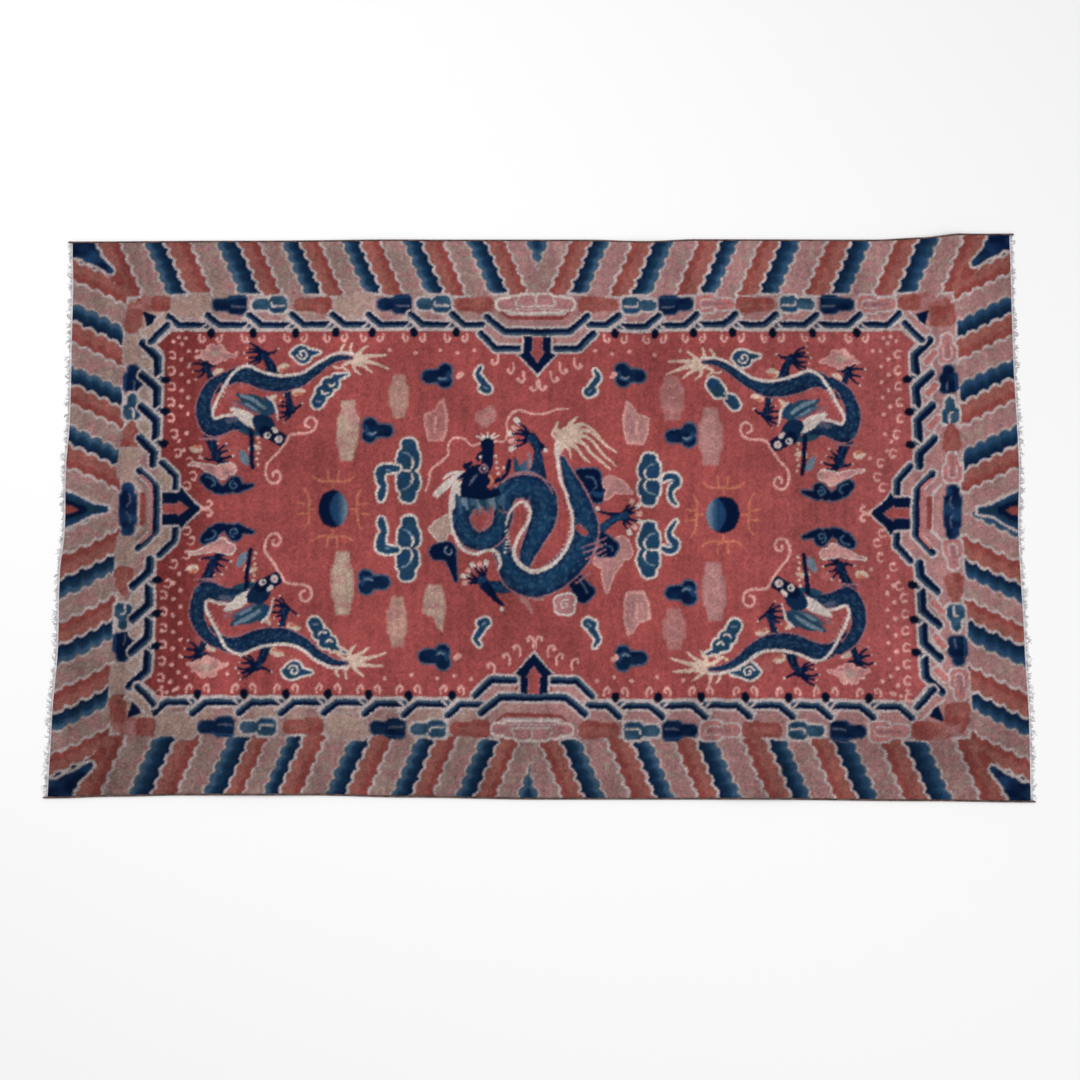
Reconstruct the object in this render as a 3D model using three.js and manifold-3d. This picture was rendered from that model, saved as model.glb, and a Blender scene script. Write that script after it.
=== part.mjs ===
// A hand-knotted wool carpet lying on the floor, as one three.js group of five pieces.
// Warps run along X and knot rows along Y. The pile faces +Z and the woven back rests on z = 0.
// All sizes are in millimetres, and the origin is the middle of the carpet at floor level.
import * as THREE from "three";
import { mergeVertices } from "three/addons/utils/BufferGeometryUtils.js";
import Module from "manifold-3d";

const wasm = await Module();
wasm.setup();

// Driving dimensions
const PILE_LENGTH = 2370; // round sizes of the knotted cloth; the edge tables give its true outline
const PILE_WIDTH = 1405;
const PILE_THICKNESS = 8; // cotton foundation and worn wool pile together
const RIM_DROP = 2.5; // how far the pile's cut edge rounds off
const RIM_INSET = 4;
const SELVEDGE_WIDTH = 5; // side cord, overcast with wool
const SELVEDGE_HEIGHT = 5.5;
const SELVEDGE_OVERRUN = 13; // how far the cord runs on past the last knot row
const SELVEDGE_SIDES = 8;
const WEB_WIDTH = 8; // plain-woven end beyond the pile
const WEB_THICKNESS = 2.2;
const GAP = 0.3; // between neighbouring pieces
const CELLS_ALONG = 40;
const CELLS_ACROSS = 22;

// Where the pile ends, as a hand-woven outline wanders: one row for each station.
const FAR_EDGE = [
  { x: -1185, y: 693 },
  { x: -800, y: 695 },
  { x: -300, y: 698 },
  { x: 130, y: 698 },
  { x: 262, y: 693 },
  { x: 390, y: 699 },
  { x: 850, y: 698 },
  { x: 970, y: 703 },
  { x: 1080, y: 713 },
  { x: 1187, y: 714 },
];
const NEAR_EDGE = [
  { x: -1190, y: -704 },
  { x: -1050, y: -700 },
  { x: -880, y: -697 },
  { x: -560, y: -697 },
  { x: -330, y: -702 },
  { x: 0, y: -707 },
  { x: 500, y: -707 },
  { x: 950, y: -711 },
  { x: 1187, y: -714 },
];
const LEFT_EDGE = [
  { y: -704, x: -1190 },
  { y: -520, x: -1187 },
  { y: -340, x: -1179 },
  { y: -150, x: -1182 },
  { y: -50, x: -1175 },
  { y: 110, x: -1180 },
  { y: 230, x: -1175 },
  { y: 560, x: -1179 },
  { y: 693, x: -1185 },
];
const RIGHT_EDGE = [
  { y: -714, x: 1187 },
  { y: -520, x: 1190 },
  { y: -340, x: 1186 },
  { y: -60, x: 1181 },
  { y: 130, x: 1189 },
  { y: 400, x: 1185 },
  { y: 714, x: 1187 },
];

// Low swells where the cloth has lost its tension and stands off the floor at a long edge.
const SWELLS = [
  { x: 262, side: 1, height: 4, along: 90, across: 70 },
  { x: 1035, side: 1, height: 6, along: 115, across: 100 },
  { x: -420, side: 1, height: 2.5, along: 170, across: 60 },
  { x: -700, side: -1, height: 3, along: 190, across: 70 },
  { x: 520, side: -1, height: 3.5, along: 160, across: 80 },
];

// Warp ends left after trimming: bunches of cotton at the two ends.
const FRINGE = {
  left: { locks: 74, length: 8, spread: 5, seed: 3 },
  right: { locks: 78, length: 10, spread: 5, seed: 11 },
};
const LOCK_WIDTH = 3.6;
const LOCK_TIP = 0.45; // of the root's width and height
const LOCK_TOP = 0.6; // of the width at the floor
const LOCK_FLATNESS = 0.8; // mean share of the web's thickness
const LOCK_ROOT = 3; // how deep a bunch starts inside the web
const LOCK_SPLAY = 0.45; // sideways lean, in millimetres for each millimetre of length

const smooth = (t) => t * t * (3 - 2 * t);

// A repeatable wander from 0 to 1, so that every build is the same.
function wander(n, seed) {
  const s = Math.sin(n * 12.9898 + seed * 78.233) * 43758.5453;
  return s - Math.floor(s);
}

// Reads a table of stations at one place, easing from row to row.
function along(table, key, value, at) {
  const last = table.length - 1;
  const clamped = THREE.MathUtils.clamp(at, table[0][key], table[last][key]);
  const next = Math.max(1, table.findIndex((row) => row[key] >= clamped));
  const from = table[next - 1];
  const to = table[next];
  const t = (clamped - from[key]) / (to[key] - from[key]);
  return THREE.MathUtils.lerp(from[value], to[value], smooth(t));
}

// The place on the floor of a share (u along, v across) of the carpet: its four edges blended.
function place(u, v) {
  const leftY = THREE.MathUtils.lerp(LEFT_EDGE[0].y, LEFT_EDGE.at(-1).y, v);
  const rightY = THREE.MathUtils.lerp(RIGHT_EDGE[0].y, RIGHT_EDGE.at(-1).y, v);
  const nearX = THREE.MathUtils.lerp(NEAR_EDGE[0].x, NEAR_EDGE.at(-1).x, u);
  const farX = THREE.MathUtils.lerp(FAR_EDGE[0].x, FAR_EDGE.at(-1).x, u);
  const left = along(LEFT_EDGE, "y", "x", leftY);
  const right = along(RIGHT_EDGE, "y", "x", rightY);
  const near = along(NEAR_EDGE, "x", "y", nearX);
  const far = along(FAR_EDGE, "x", "y", farX);
  return { x: THREE.MathUtils.lerp(left, right, u), y: THREE.MathUtils.lerp(near, far, v) };
}

// How high the cloth stands off the floor at a place.
function lift(x, v) {
  let height = 0;
  for (const swell of SWELLS) {
    const fromEdge = (swell.side > 0 ? 1 - v : v) * PILE_WIDTH;
    const a = Math.max(0, 1 - Math.abs(x - swell.x) / swell.along);
    const b = Math.max(0, 1 - fromEdge / swell.across);
    height += swell.height * smooth(a) * smooth(b);
  }
  return height;
}

// Shares of a side: a narrow cell for the rounded rim at each end, and even cells between.
function shares(cells, side) {
  const inset = RIM_INSET / side;
  const between = Array.from({ length: cells + 1 }, (_, i) => inset + (i / cells) * (1 - 2 * inset));
  return [0, ...between, 1];
}

// A closed body from rings of points, each ring with the same count, capped at both ends.
function loft(rings) {
  const count = rings[0].length;
  const positions = rings.flat().flatMap((p) => [p.x, p.y, p.z]);
  const faces = [];
  for (let r = 0; r < rings.length - 1; r++)
    for (let i = 0; i < count; i++) {
      const j = (i + 1) % count;
      const a = r * count;
      const b = a + count;
      faces.push(a + i, a + j, b + j, a + i, b + j, b + i);
    }
  const end = (rings.length - 1) * count;
  for (let i = 1; i < count - 1; i++) {
    faces.push(0, i + 1, i);
    faces.push(end, end + i, end + i + 1);
  }
  const geometry = new THREE.BufferGeometry();
  geometry.setAttribute("position", new THREE.Float32BufferAttribute(positions, 3));
  geometry.setIndex(faces);
  return geometry;
}

// The pile and its foundation: one slab on a grid, with its rim rounded off above.
function carpetSlab() {
  const us = shares(CELLS_ALONG, PILE_LENGTH);
  const vs = shares(CELLS_ACROSS, PILE_WIDTH);
  const columns = us.length;
  const rows = vs.length;
  const layer = columns * rows;
  const bottom = [];
  const top = [];
  vs.forEach((v, row) =>
    us.forEach((u, column) => {
      const { x, y } = place(u, v);
      const z = lift(x, v);
      const rim = row === 0 || column === 0 || row === rows - 1 || column === columns - 1;
      bottom.push(x, y, z);
      top.push(x, y, z + PILE_THICKNESS - (rim ? RIM_DROP : 0));
    }),
  );
  const faces = [];
  const quad = (a, b, c, d) => faces.push(a, b, c, a, c, d);
  for (let row = 0; row < rows - 1; row++)
    for (let column = 0; column < columns - 1; column++) {
      const a = row * columns + column;
      const b = a + 1;
      const c = b + columns;
      const d = a + columns;
      quad(a, d, c, b);
      quad(layer + a, layer + b, layer + c, layer + d);
    }
  const rim = [];
  for (let column = 0; column < columns - 1; column++) rim.push(column);
  for (let row = 0; row < rows - 1; row++) rim.push(row * columns + columns - 1);
  for (let column = columns - 1; column > 0; column--) rim.push(layer - columns + column);
  for (let row = rows - 1; row > 0; row--) rim.push(row * columns);
  rim.forEach((a, i) => {
    const b = rim[(i + 1) % rim.length];
    quad(a, b, layer + b, layer + a);
  });
  const geometry = new THREE.BufferGeometry();
  geometry.setAttribute("position", new THREE.Float32BufferAttribute([...bottom, ...top], 3));
  geometry.setIndex(faces);
  return geometry;
}

// A side cord beside one long edge: side is 1 for the far edge and -1 for the near one.
function selvedge(side) {
  const v = side > 0 ? 1 : 0;
  const us = shares(CELLS_ALONG, PILE_LENGTH);
  const start = place(0, v);
  const end = place(1, v);
  const stations = [
    { x: start.x - SELVEDGE_OVERRUN, y: start.y, z: 0 },
    ...us.map((u) => ({ ...place(u, v), z: lift(place(u, v).x, v) })),
    { x: end.x + SELVEDGE_OVERRUN, y: end.y, z: 0 },
  ];
  const reach = 1 / Math.cos(Math.PI / SELVEDGE_SIDES);
  const rings = stations.map((station) =>
    Array.from({ length: SELVEDGE_SIDES }, (_, i) => {
      const angle = ((i + 0.5) / SELVEDGE_SIDES) * 2 * Math.PI;
      const across = side * (GAP + (SELVEDGE_WIDTH / 2) * (1 + Math.cos(angle) * reach));
      const up = (SELVEDGE_HEIGHT / 2) * (1 + Math.sin(angle) * reach);
      return new THREE.Vector3(station.x, station.y + across, station.z + up);
    }),
  );
  return loft(side > 0 ? rings : rings.map((ring) => ring.reverse()));
}

// A geometry as a solid that can be joined to others.
function solidOf(geometry) {
  const bare = new THREE.BufferGeometry();
  bare.setAttribute("position", geometry.getAttribute("position"));
  bare.setIndex(geometry.index);
  const merged = mergeVertices(bare, 1e-4);
  return new wasm.Manifold(
    new wasm.Mesh({
      numProp: 3,
      vertProperties: merged.attributes.position.array,
      triVerts: new Uint32Array(merged.index.array),
    }),
  );
}

// One bunch of warp ends from the web outwards, resting level on the floor and tapering to its tip.
function lock(root, outward, length, lean, thickness) {
  const steps = [-LOCK_ROOT, length * 0.5, length];
  const rings = steps.map((reach) => {
    const share = Math.max(0, reach) / length;
    const size = THREE.MathUtils.lerp(1, LOCK_TIP, share);
    const half = (LOCK_WIDTH / 2) * size;
    const y = root.y + lean * length * share * share;
    const x = root.x + outward * reach;
    return [
      new THREE.Vector3(x, y - half, 0),
      new THREE.Vector3(x, y + half, 0),
      new THREE.Vector3(x, y + half * LOCK_TOP, thickness * size),
      new THREE.Vector3(x, y - half * LOCK_TOP, thickness * size),
    ];
  });
  return loft(outward > 0 ? rings : rings.map((ring) => ring.reverse()));
}

// The plain-woven web at one end with its bunches fused to it: outward is 1 on the right.
function fringe(outward, { locks, length, spread, seed }) {
  const u = outward > 0 ? 1 : 0;
  const stations = shares(CELLS_ACROSS, PILE_WIDTH).map((v) => place(u, v));
  const rings = stations.map(({ x, y }) => {
    const inner = x + outward * GAP;
    const outer = inner + outward * WEB_WIDTH;
    const ring = [
      new THREE.Vector3(inner, y, 0),
      new THREE.Vector3(inner, y, WEB_THICKNESS),
      new THREE.Vector3(outer, y, WEB_THICKNESS),
      new THREE.Vector3(outer, y, 0),
    ];
    return outward > 0 ? ring : ring.reverse();
  });
  let made = solidOf(loft(rings));
  for (let i = 0; i < locks; i++) {
    const shift = 0.5 * (wander(i, seed) - 0.5);
    const v = (i + 0.5 + shift) / locks;
    const edge = place(u, v);
    const root = { x: edge.x + outward * (GAP + WEB_WIDTH), y: edge.y };
    const reach = length + spread * (wander(i, seed + 1) - 0.5);
    const lean = 2 * LOCK_SPLAY * (wander(i, seed + 2) - 0.5);
    const thickness = WEB_THICKNESS * (LOCK_FLATNESS + 0.2 * (wander(i, seed + 3) - 0.5));
    made = made.add(solidOf(lock(root, outward, reach, lean, thickness)));
  }
  const { vertProperties, triVerts } = made.getMesh();
  const geometry = new THREE.BufferGeometry();
  geometry.setAttribute("position", new THREE.BufferAttribute(vertProperties, 3));
  geometry.setIndex(new THREE.BufferAttribute(triVerts, 1));
  return geometry;
}

const carpet = new THREE.Group();

function addPiece(name, geometry, color) {
  const material = new THREE.MeshStandardMaterial({ color, roughness: 0.95, metalness: 0 });
  const mesh = new THREE.Mesh(geometry, material);
  mesh.name = name;
  carpet.add(mesh);
}

const ROSE_RED = 0xa8504e;
const UMBER_WOOL = 0x5d4744;
const RAW_COTTON = 0xa59c93;

addPiece("carpet", carpetSlab(), ROSE_RED);
addPiece("selvedge_far", selvedge(1), UMBER_WOOL);
addPiece("selvedge_near", selvedge(-1), UMBER_WOOL);
addPiece("fringe_left", fringe(-1, FRINGE.left), RAW_COTTON);
addPiece("fringe_right", fringe(1, FRINGE.right), RAW_COTTON);

// The bunches differ in length, so the group is moved by the millimetre or so that centres it.
const middle = new THREE.Box3().setFromObject(carpet).getCenter(new THREE.Vector3());
carpet.position.set(-middle.x, -middle.y, 0);

export default carpet;
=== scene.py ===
# %% [markdown]
# # An old Chinese carpet, knot by knot
# A hand-knotted carpet has cotton warps, a row of cut wool knots, then a weft beaten down on it,
# over and over. Its picture is a chart: squared paper with one square for each knot.
# The pattern could be painted on a flat sheet, but then the pile would have no depth and its
# edges no steps. So this lesson weaves as the knotter does: it fills a chart from short tables,
# then makes one small face of pile for each knot, and adds the back, side cords and fringe.

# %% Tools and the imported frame
import math

import bmesh
import bpy
import numpy as np
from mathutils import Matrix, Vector


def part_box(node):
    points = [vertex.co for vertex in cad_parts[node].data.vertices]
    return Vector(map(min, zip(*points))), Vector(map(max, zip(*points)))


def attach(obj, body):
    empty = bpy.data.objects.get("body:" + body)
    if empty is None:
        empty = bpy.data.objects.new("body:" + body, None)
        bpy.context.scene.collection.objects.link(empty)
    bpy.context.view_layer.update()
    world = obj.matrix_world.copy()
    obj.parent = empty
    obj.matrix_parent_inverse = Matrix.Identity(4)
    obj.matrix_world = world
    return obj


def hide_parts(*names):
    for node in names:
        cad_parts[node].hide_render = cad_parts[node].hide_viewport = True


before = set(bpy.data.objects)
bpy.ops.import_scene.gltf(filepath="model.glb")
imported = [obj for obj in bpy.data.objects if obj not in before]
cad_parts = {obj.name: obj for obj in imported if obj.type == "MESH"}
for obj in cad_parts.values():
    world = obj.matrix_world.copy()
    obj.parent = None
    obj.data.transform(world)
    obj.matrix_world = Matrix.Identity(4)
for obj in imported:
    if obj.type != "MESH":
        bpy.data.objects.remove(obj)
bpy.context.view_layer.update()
MM = 0.001

# %% [markdown]
# ## Squared paper and wools
# A knotter reads a chart: squared paper with one square for each knot and a note of its wool.
# Here the chart is an array of colours that the next steps fill, from the ground upwards, as a
# painter would. It has two squares to a knot each way, so that slanting lines come out soft, and
# they are averaged before the pile is made. Sizes are in millimetres from the carpet's middle.

# %% Chart and wools
KNOT = 3.0
COLUMNS = 790
ROWS = 468
LONG = COLUMNS * KNOT
WIDE = ROWS * KNOT
SQUARE = KNOT / 2
square_x = (np.arange(2 * COLUMNS) + 0.5) * SQUARE - LONG / 2
square_y = (np.arange(2 * ROWS) + 0.5) * SQUARE - WIDE / 2
X, Y = np.meshgrid(square_x, square_y)
rng = np.random.default_rng(7)

WOOL = {
    "rose": (151, 73, 72),
    "crimson": (124, 52, 52),
    "old_rose": (158, 82, 82),
    "brick": (134, 66, 62),
    "rust": (145, 87, 80),
    "night": (3, 19, 50),
    "deep": (22, 48, 68),
    "navy": (12, 37, 66),
    "blue": (28, 58, 92),
    "indigo": (17, 52, 84),
    "teal": (32, 64, 84),
    "mist": (104, 122, 138),
    "cream": (200, 186, 180),
    "beige": (165, 139, 128),
    "straw": (176, 150, 134),
    "pink": (165, 119, 117),
    "sand": (134, 111, 108),
    "ash": (92, 98, 104),
    "blush": (206, 152, 145),
    "mauve": (142, 100, 108),
    "white": (196, 182, 180),
    "line": (180, 166, 165),
    "slate": (76, 82, 102),
    "steel": (58, 84, 108),
    "rosy": (163, 113, 115),
    "tuft": (198, 172, 156),
    "flame": (180, 106, 86),
    "ember": (158, 90, 80),
    "coral": (176, 110, 107),
}
WOOL = {name: np.array(rgb) / 255 for name, rgb in WOOL.items()}
chart = np.empty((2 * ROWS, 2 * COLUMNS, 3))
print("Chart of", COLUMNS, "by", ROWS, "knots, with", len(WOOL), "wools")

# %% [markdown]
# ## The red field
# The field looks plain, but its red is darker at the left end and rosier at the right, as if its
# wool came from several dye baths. A flat colour with noise would miss that slow change. So two
# reds are mixed by the distance along the carpet, with an ease in and out.

# %% Mixing, easing and soft noise
def mix(first, second, share):
    share = np.asarray(share, float)[..., None]
    return np.asarray(first) * (1 - share) + np.asarray(second) * share


def ease(value, low, high):
    t = np.clip((value - low) / (high - low), 0, 1)
    return t * t * (3 - 2 * t)


def wool_noise(scale_x, scale_y, seed):
    """A soft random field from -1 to 1 over the chart, with blobs of about the given size in mm."""
    source = np.random.default_rng(seed)
    grid = source.uniform(-1, 1, (int(WIDE / scale_y) + 3, int(LONG / scale_x) + 3))
    gx = (X + LONG / 2) / scale_x
    gy = (Y + WIDE / 2) / scale_y
    ix, iy = gx.astype(int), gy.astype(int)
    fx, fy = gx - ix, gy - iy
    fx, fy = fx * fx * (3 - 2 * fx), fy * fy * (3 - 2 * fy)
    low = grid[iy, ix] * (1 - fx) + grid[iy, ix + 1] * fx
    high = grid[iy + 1, ix] * (1 - fx) + grid[iy + 1, ix + 1] * fx
    return low * (1 - fy) + high * fy

# %% Field ground
def field_ground():
    """The red field: crimson and dark at the left end, rosier and lighter at the right."""
    dark = mix(WOOL["rose"], WOOL["crimson"], 0.9 * ease(-X, 790, 910))
    return mix(dark, WOOL["old_rose"], 0.7 * ease(X, 300, 900))


def pale(x):
    """The pale wool came from two dye lots: beige at the left of the loom, pink at the right."""
    return mix(WOOL["beige"], WOOL["pink"], ease(x, -200, 60))


chart[:] = field_ground()
print("Mean of the red field:", chart.mean((0, 1)).round(3))

# %% [markdown]
# ## Lines, clouds and panels
# Every motif is a line of changing width, a cloud of such lines, or a panel with straight sides.
# Blender curves could draw them, but the chart only has to know which knots a shape covers. So
# `route` samples a smooth line, `knots_by` finds the knots within its width, and `stroke`, `blob`
# and `polygon` give those knots their wool, often over a wider rim in another one.

# %% Routes and the knots they cover
def route(points, smooth=True, step=2.5):
    """Evenly spaced samples (x, y, width) of a line through the points, rounded if smooth."""
    p = np.array([tuple(q) + (6.0,) * (3 - len(q)) for q in points], float)
    if len(p) == 1:
        return p
    if smooth and len(p) > 2:
        q = np.vstack([2 * p[0] - p[1], p, 2 * p[-1] - p[-2]])
        t = np.linspace(0, 1, 12, endpoint=False)[:, None]
        parts = []
        for a, b, c, d in zip(q, q[1:], q[2:], q[3:]):
            line = 2 * b + (c - a) * t
            bend = (2 * a - 5 * b + 4 * c - d) * t**2
            parts.append(0.5 * (line + bend + (3 * b - a - 3 * c + d) * t**3))
        p = np.vstack(parts + [p[-1:]])
    reach = np.r_[0, np.cumsum(np.hypot(*np.diff(p[:, :2], axis=0).T))]
    at = np.linspace(0, reach[-1], max(2, int(reach[-1] / step) + 1))
    return np.stack([np.interp(at, reach, p[:, k]) for k in range(3)], 1)


def knots_by(way, extra=0.0):
    """The knots that a route's width covers: rows, columns, how far along (mm) and to the left (share)."""
    reach = way[:, 2].max() / 2 + extra + KNOT
    low = way[:, :2].min(0) - reach
    high = way[:, :2].max(0) + reach
    c0, c1 = np.searchsorted(square_x, (low[0], high[0]))
    r0, r1 = np.searchsorted(square_y, (low[1], high[1]))
    dx = X[r0:r1, c0:c1, None] - way[:, 0]
    dy = Y[r0:r1, c0:c1, None] - way[:, 1]
    if not dx.size:
        return np.zeros(0, int), np.zeros(0, int), np.zeros(0), np.zeros(0)
    half = way[:, 2] / 2 + extra
    away = np.hypot(dx, dy)
    near = np.argmin(away - half, axis=2)
    pick = near[..., None]
    gap = np.take_along_axis(away, pick, 2)[..., 0]
    rows, cols = np.nonzero(gap <= half[near])
    near, gap = near[rows, cols], gap[rows, cols]
    heading = np.gradient(way[:, :2], axis=0) if len(way) > 1 else np.array([[1.0, 0.0]])
    off_x = dx[rows, cols, near]
    off_y = dy[rows, cols, near]
    left = np.sign(heading[near, 0] * off_y - heading[near, 1] * off_x)
    length = np.r_[0, np.cumsum(np.hypot(*np.diff(way[:, :2], axis=0).T))] if len(way) > 1 else np.zeros(1)
    return rows + r0, cols + c0, length[near], left * gap / half[near]

# %% Strokes, clouds and panels
def dye(rows, cols, colour):
    chart[rows, cols] = WOOL[colour] if isinstance(colour, str) else colour


def stroke(points, colour, rim=None, rim_width=5.0, smooth=True):
    """One line or blob of a motif, with a rim of another colour round it if one is named."""
    way = route(points, smooth)
    if rim is not None:
        dye(*knots_by(way, rim_width)[:2], rim)
    rows, cols, length, left = knots_by(way)
    dye(rows, cols, colour(length, left) if callable(colour) else colour)


def blob(parts, fill, rim=None, rim_width=5.0, smooth=True):
    """Several strokes as one cloud: all their rims first, then all their fills."""
    ways = [route(part, smooth) for part in parts]
    if rim is not None:
        for way in ways:
            dye(*knots_by(way, rim_width)[:2], rim)
    for way in ways:
        rows, cols = knots_by(way)[:2]
        dye(rows, cols, fill(rows, cols) if callable(fill) else fill)


def polygon(corners, colour):
    p = np.array(corners, float)
    c0, c1 = np.searchsorted(square_x, (p[:, 0].min() - KNOT, p[:, 0].max() + KNOT))
    r0, r1 = np.searchsorted(square_y, (p[:, 1].min() - KNOT, p[:, 1].max() + KNOT))
    x, y = X[r0:r1, c0:c1], Y[r0:r1, c0:c1]
    inside = np.zeros(x.shape, bool)
    for (ax, ay), (bx, by) in zip(p, np.roll(p, -1, axis=0)):
        if ay != by:
            inside ^= ((ay > y) != (by > y)) & (x < ax + (bx - ax) * (y - ay) / (by - ay))
    rows, cols = np.nonzero(inside)
    dye(rows + r0, cols + c0, colour(rows + r0, cols + c0) if callable(colour) else colour)

# %% Spirals and placing
def curl(x, y, radius, turns, start, hand=1, width=5.0, tip=0.25):
    """Points of a spiral that winds inwards, from its start angle in degrees."""
    t = np.linspace(0, 1, int(8 * abs(turns)) + 4)
    angle = np.radians(start) + hand * turns * 2 * np.pi * t
    r = radius * (1 - (1 - tip) * t)
    return [(x + a * math.cos(b), y + a * math.sin(b), width) for a, b in zip(r, angle)]


def placed(points, flip=(1, 1), shift=(0, 0), turn=0):
    """Points turned by an angle in degrees, mirrored and moved."""
    c, s = math.cos(math.radians(turn)), math.sin(math.radians(turn))
    out = []
    for x, y, *width in points:
        out.append((flip[0] * (c * x - s * y) + shift[0], flip[1] * (s * x + c * y) + shift[1], *width))
    return out

# %% [markdown]
# ## Mottled grounds
# A ground of one wool changes from patch to patch, because its yarn was dyed in small lots. A new
# random number for each knot would look like sand. Two soft random fields, with blobs of about
# two centimetres, say instead how much of a second wool each knot takes.

# %% Two wools in patches
blotches = wool_noise(22, 16, 11)
patches = wool_noise(26, 15, 23)
ring_ground = mix(pale(X), mix(WOOL["rosy"], WOOL["sand"], 0.35), np.clip(0.5 + 0.8 * patches, 0, 1))


def two_wools(first, second, seed):
    """A mottled fill of two wools, as a rule for blobs and polygons."""
    return lambda rows, cols: mix(WOOL[first], WOOL[second], np.clip(0.5 + 0.7 * seed[rows, cols], 0, 1))

# %% [markdown]
# ## The wave border
# Slanting stripes of red, pale and blue wool stand for the sea, with stepped edges for its waves.
# They lean from both corners of each side and meet in a seam at its middle. One stripe could be
# repeated by arithmetic, but the weaver spaced them by eye. So a table holds where each blue edge
# meets a side, and a function turns a knot's place between two edges into its wool.

# %% Sizes of the wave border
ENDS = ("left", "right")
RING = {"top": 140, "bottom": 142, "left": 120, "right": 132}
SLANT = 0.47
SCALLOP = 29.0
SCALLOP_RISE = 3.6
SCALLOP_TURN = 215.0
UNDER_CLOUDS = 22.0
WAVES = {
    # side, end: how far the blue edges are from that end, and the seam
    ("top", "left"): dict(edges=[44, 217, 405, 563, 715, 873, 1037], seam=1173),
    ("top", "right"): dict(edges=[42, 220, 390, 572, 723, 897, 1055], seam=1197),
    ("bottom", "left"): dict(edges=[42, 230, 412, 542, 705, 865, 1020], seam=1158),
    ("bottom", "right"): dict(edges=[44, 235, 410, 570, 745, 902, 1077], seam=1212),
    ("left", "top"): dict(edges=[40, 203, 366, 519], seam=692),
    ("left", "bottom"): dict(edges=[44, 197, 367, 532], seam=712),
    ("right", "top"): dict(edges=[42, 199, 362, 532], seam=707),
    ("right", "bottom"): dict(edges=[42, 192, 367, 517], seam=697),
}
LAST_WAVE = 160.0
DEPTH = {"left": X + LONG / 2, "right": LONG / 2 - X, "top": WIDE / 2 - Y, "bottom": Y + WIDE / 2}
WAVE_HUES = [
    # share of the way to the next blue edge, wool
    (0.00, "line"), (0.048, "line"), (0.053, "rust"), (0.20, "rust"), (0.26, "brick"), (0.343, "brick"),
    (0.348, "line"), (0.392, "line"), (0.397, "sand"), (0.68, "sand"),
    (0.70, "line"), (0.722, "line"), (0.735, "ash"), (0.76, "steel"), (0.80, "steel"), (0.84, "blue"),
    (0.875, "deep"), (0.94, "navy"), (1.0, "night"),
]

SEAM_CORE = [
    # wool, then pairs: how far from the carpet's middle, and half the width there
    ("line", [(1190, 58), (1168, 46), (1150, 34), (1128, 20), (1084, 12)]),
    ("blue", [(1190, 50), (1168, 38), (1150, 27), (1128, 13), (1092, 7)]),
    ("deep", [(1190, 38), (1168, 28), (1150, 18), (1124, 8), (1098, 4)]),
    ("night", [(1190, 30), (1168, 20), (1140, 6)]),
    ("brick", [(1190, 14), (1172, 10), (1160, 2)]),
]
WEDGE = [
    # from the corner: inwards along the long edge, and across
    (-4, -4), (46, -4), (48, 12), (56, 20), (58, 34), (70, 46), (91, 72), (87, 82), (76, 80), (52, 62),
    (40, 56), (28, 52), (18, 42), (8, 40), (-4, 42),
]
WAVE_SEAM = {"left": 10, "right": 2}
print("Wave border:", sum(len(row["edges"]) for row in WAVES.values()), "blue edges")

# %% Waves
def wave_colour(share):
    """One wave from its cream line, through red and pale wool, to the next wave's blue."""
    at = [stop for stop, _ in WAVE_HUES]
    hues = np.array([WOOL[hue] for _, hue in WAVE_HUES])
    return np.stack([np.interp(share, at, hues[:, k]) for k in range(3)], -1)


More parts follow.
